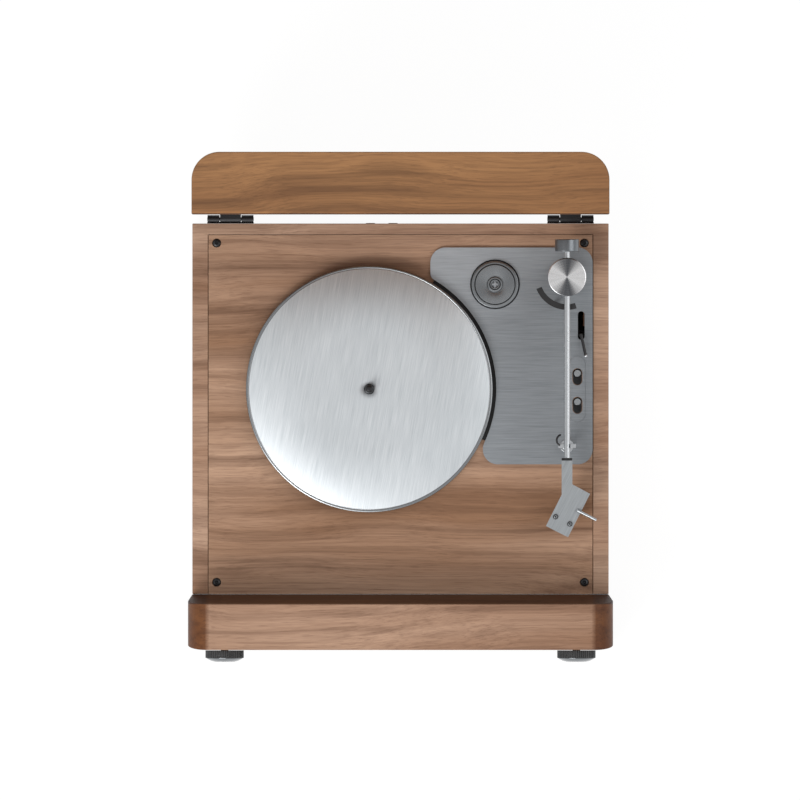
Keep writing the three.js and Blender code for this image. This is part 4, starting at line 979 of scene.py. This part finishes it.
# %% A group for the weave, and the cloth's finish
t, given = new_group("weave", [
    ("Thread", COLOUR, WHITE), ("Gap", COLOUR, BLACK), ("Flecks", COLOUR, WHITE), ("Count", VALUE, 4200.0)])
weave_group = t
x, y, z = add_node(t, "ShaderNodeSeparateXYZ", Vector=given["Vector"]).outputs
warp = maths(t, "SINE", times(t, x, given["Count"]))
weft = maths(t, "SINE", times(t, z, given["Count"]))
height = plus(t, times(t, times(t, warp, weft), 0.5), 0.5)
uneven = noise(t, stretched(t, given["Vector"], (90.0, 90.0, 900.0)), 1.0, 3.0, 0.6)
slub = noise(t, stretched(t, given["Vector"], (1100.0, 1100.0, 160.0)), 1.0, 2.0, 0.6)
yarn = mixed(t, mapped(t, uneven, 0.45, 0.7, 0.0, 0.6), given["Thread"], given["Flecks"])
yarn = mixed(t, mapped(t, slub, 0.5, 0.75, 0.0, 0.5), yarn, given["Flecks"])
give_out(t, mixed(t, mapped(t, height, 0.15, 0.6), given["Gap"], yarn),
         mapped(t, uneven, 0.2, 0.8, 0.78, 0.94), height)
speaker_cloth = finish("speaker_cloth", weave_group, {
    "Thread": rgb(92, 88, 84), "Gap": rgb(24, 22, 21), "Flecks": rgb(132, 126, 118), "Count": 4200.0},
    bump=0.5, depth=0.2, specular=0.2)

# %% Stretch the cloth and set its frame behind it
low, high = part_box("speaker_grille")
WIDE, TALL = high.x - low.x, high.z - low.z
COLUMNS, ROWS = 118, 46
THICK = 0.7 * MM
CROWN, FOLD, FOLD_REACH = 0.35 * MM, 0.75 * MM, 2.2 * MM


def cloth_depth(u, v):
    """How far the cloth stands back from its crown, with u and v from 0 to 1 across and up."""
    crown = (1 - (2 * u - 1) ** 4) * (1 - (2 * v - 1) ** 4)
    edge = min(u * WIDE, (1 - u) * WIDE, v * TALL, (1 - v) * TALL) / FOLD_REACH
    return CROWN * (1 - crown) + FOLD * (1 - min(edge, 1.0)) ** 2


def cloth_corner(form, i, j, back):
    u, v = i / COLUMNS, j / ROWS
    return form.verts.new((low.x + WIDE * u, low.y + cloth_depth(u, v) + back, low.z + TALL * v))


form = bmesh.new()
front, rear = [[[cloth_corner(form, i, j, back) for j in range(ROWS + 1)] for i in range(COLUMNS + 1)]
               for back in (0.0, THICK)]
for grid in (front, rear):
    for i in range(COLUMNS):
        for j in range(ROWS):
            form.faces.new((grid[i][j], grid[i + 1][j], grid[i + 1][j + 1], grid[i][j + 1]))
rim = ([(i, 0) for i in range(COLUMNS)] + [(COLUMNS, j) for j in range(ROWS)]
       + [(i, ROWS) for i in range(COLUMNS, 0, -1)] + [(0, j) for j in range(ROWS, 0, -1)])
for (i, j), (m, n) in zip(rim, rim[1:] + rim[:1]):
    form.faces.new((front[i][j], front[m][n], rear[m][n], rear[i][j]))
for face in form.faces:
    face.smooth = True
cloth = formed("grille_cloth", form, speaker_cloth)
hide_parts("speaker_grille")
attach(cloth, "cabinet")

FRAME_GROW, FRAME_WIDE, FRAME_EASE = 0.1 * MM, 4.0 * MM, 0.25 * MM
FRAME_FRONT, FRAME_BACK = low.y + 1.85 * MM, high.y - 0.05 * MM


def frame_corners(form, inset, y):
    x0, x1, z0, z1 = low.x + inset, high.x - inset, low.z + inset, high.z - inset
    return [form.verts.new(corner) for corner in ((x0, y, z0), (x1, y, z0), (x1, y, z1), (x0, y, z1))]


def ring_plate(name, material):
    """A flat upright frame, with its edges eased."""
    form = bmesh.new()
    section = [(-FRAME_GROW, FRAME_FRONT), (-FRAME_GROW, FRAME_BACK), (FRAME_WIDE, FRAME_BACK),
               (FRAME_WIDE, FRAME_FRONT)]
    rows = [frame_corners(form, inset, y) for inset, y in section]
    for one, two in zip(rows, rows[1:] + rows[:1]):
        for i in range(4):
            j = (i + 1) % 4
            form.faces.new((one[i], one[j], two[j], two[i]))
    obj = formed(name, form, material)
    add_bevel(obj, FRAME_EASE)
    return baked(obj, name)


cloth_frame = ring_plate("cloth_frame", black_plastic)
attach(cloth_frame, "cabinet")
print("cloth:", len(cloth.data.polygons), "faces")

# %% Update the scene and finish
bpy.context.view_layer.update()
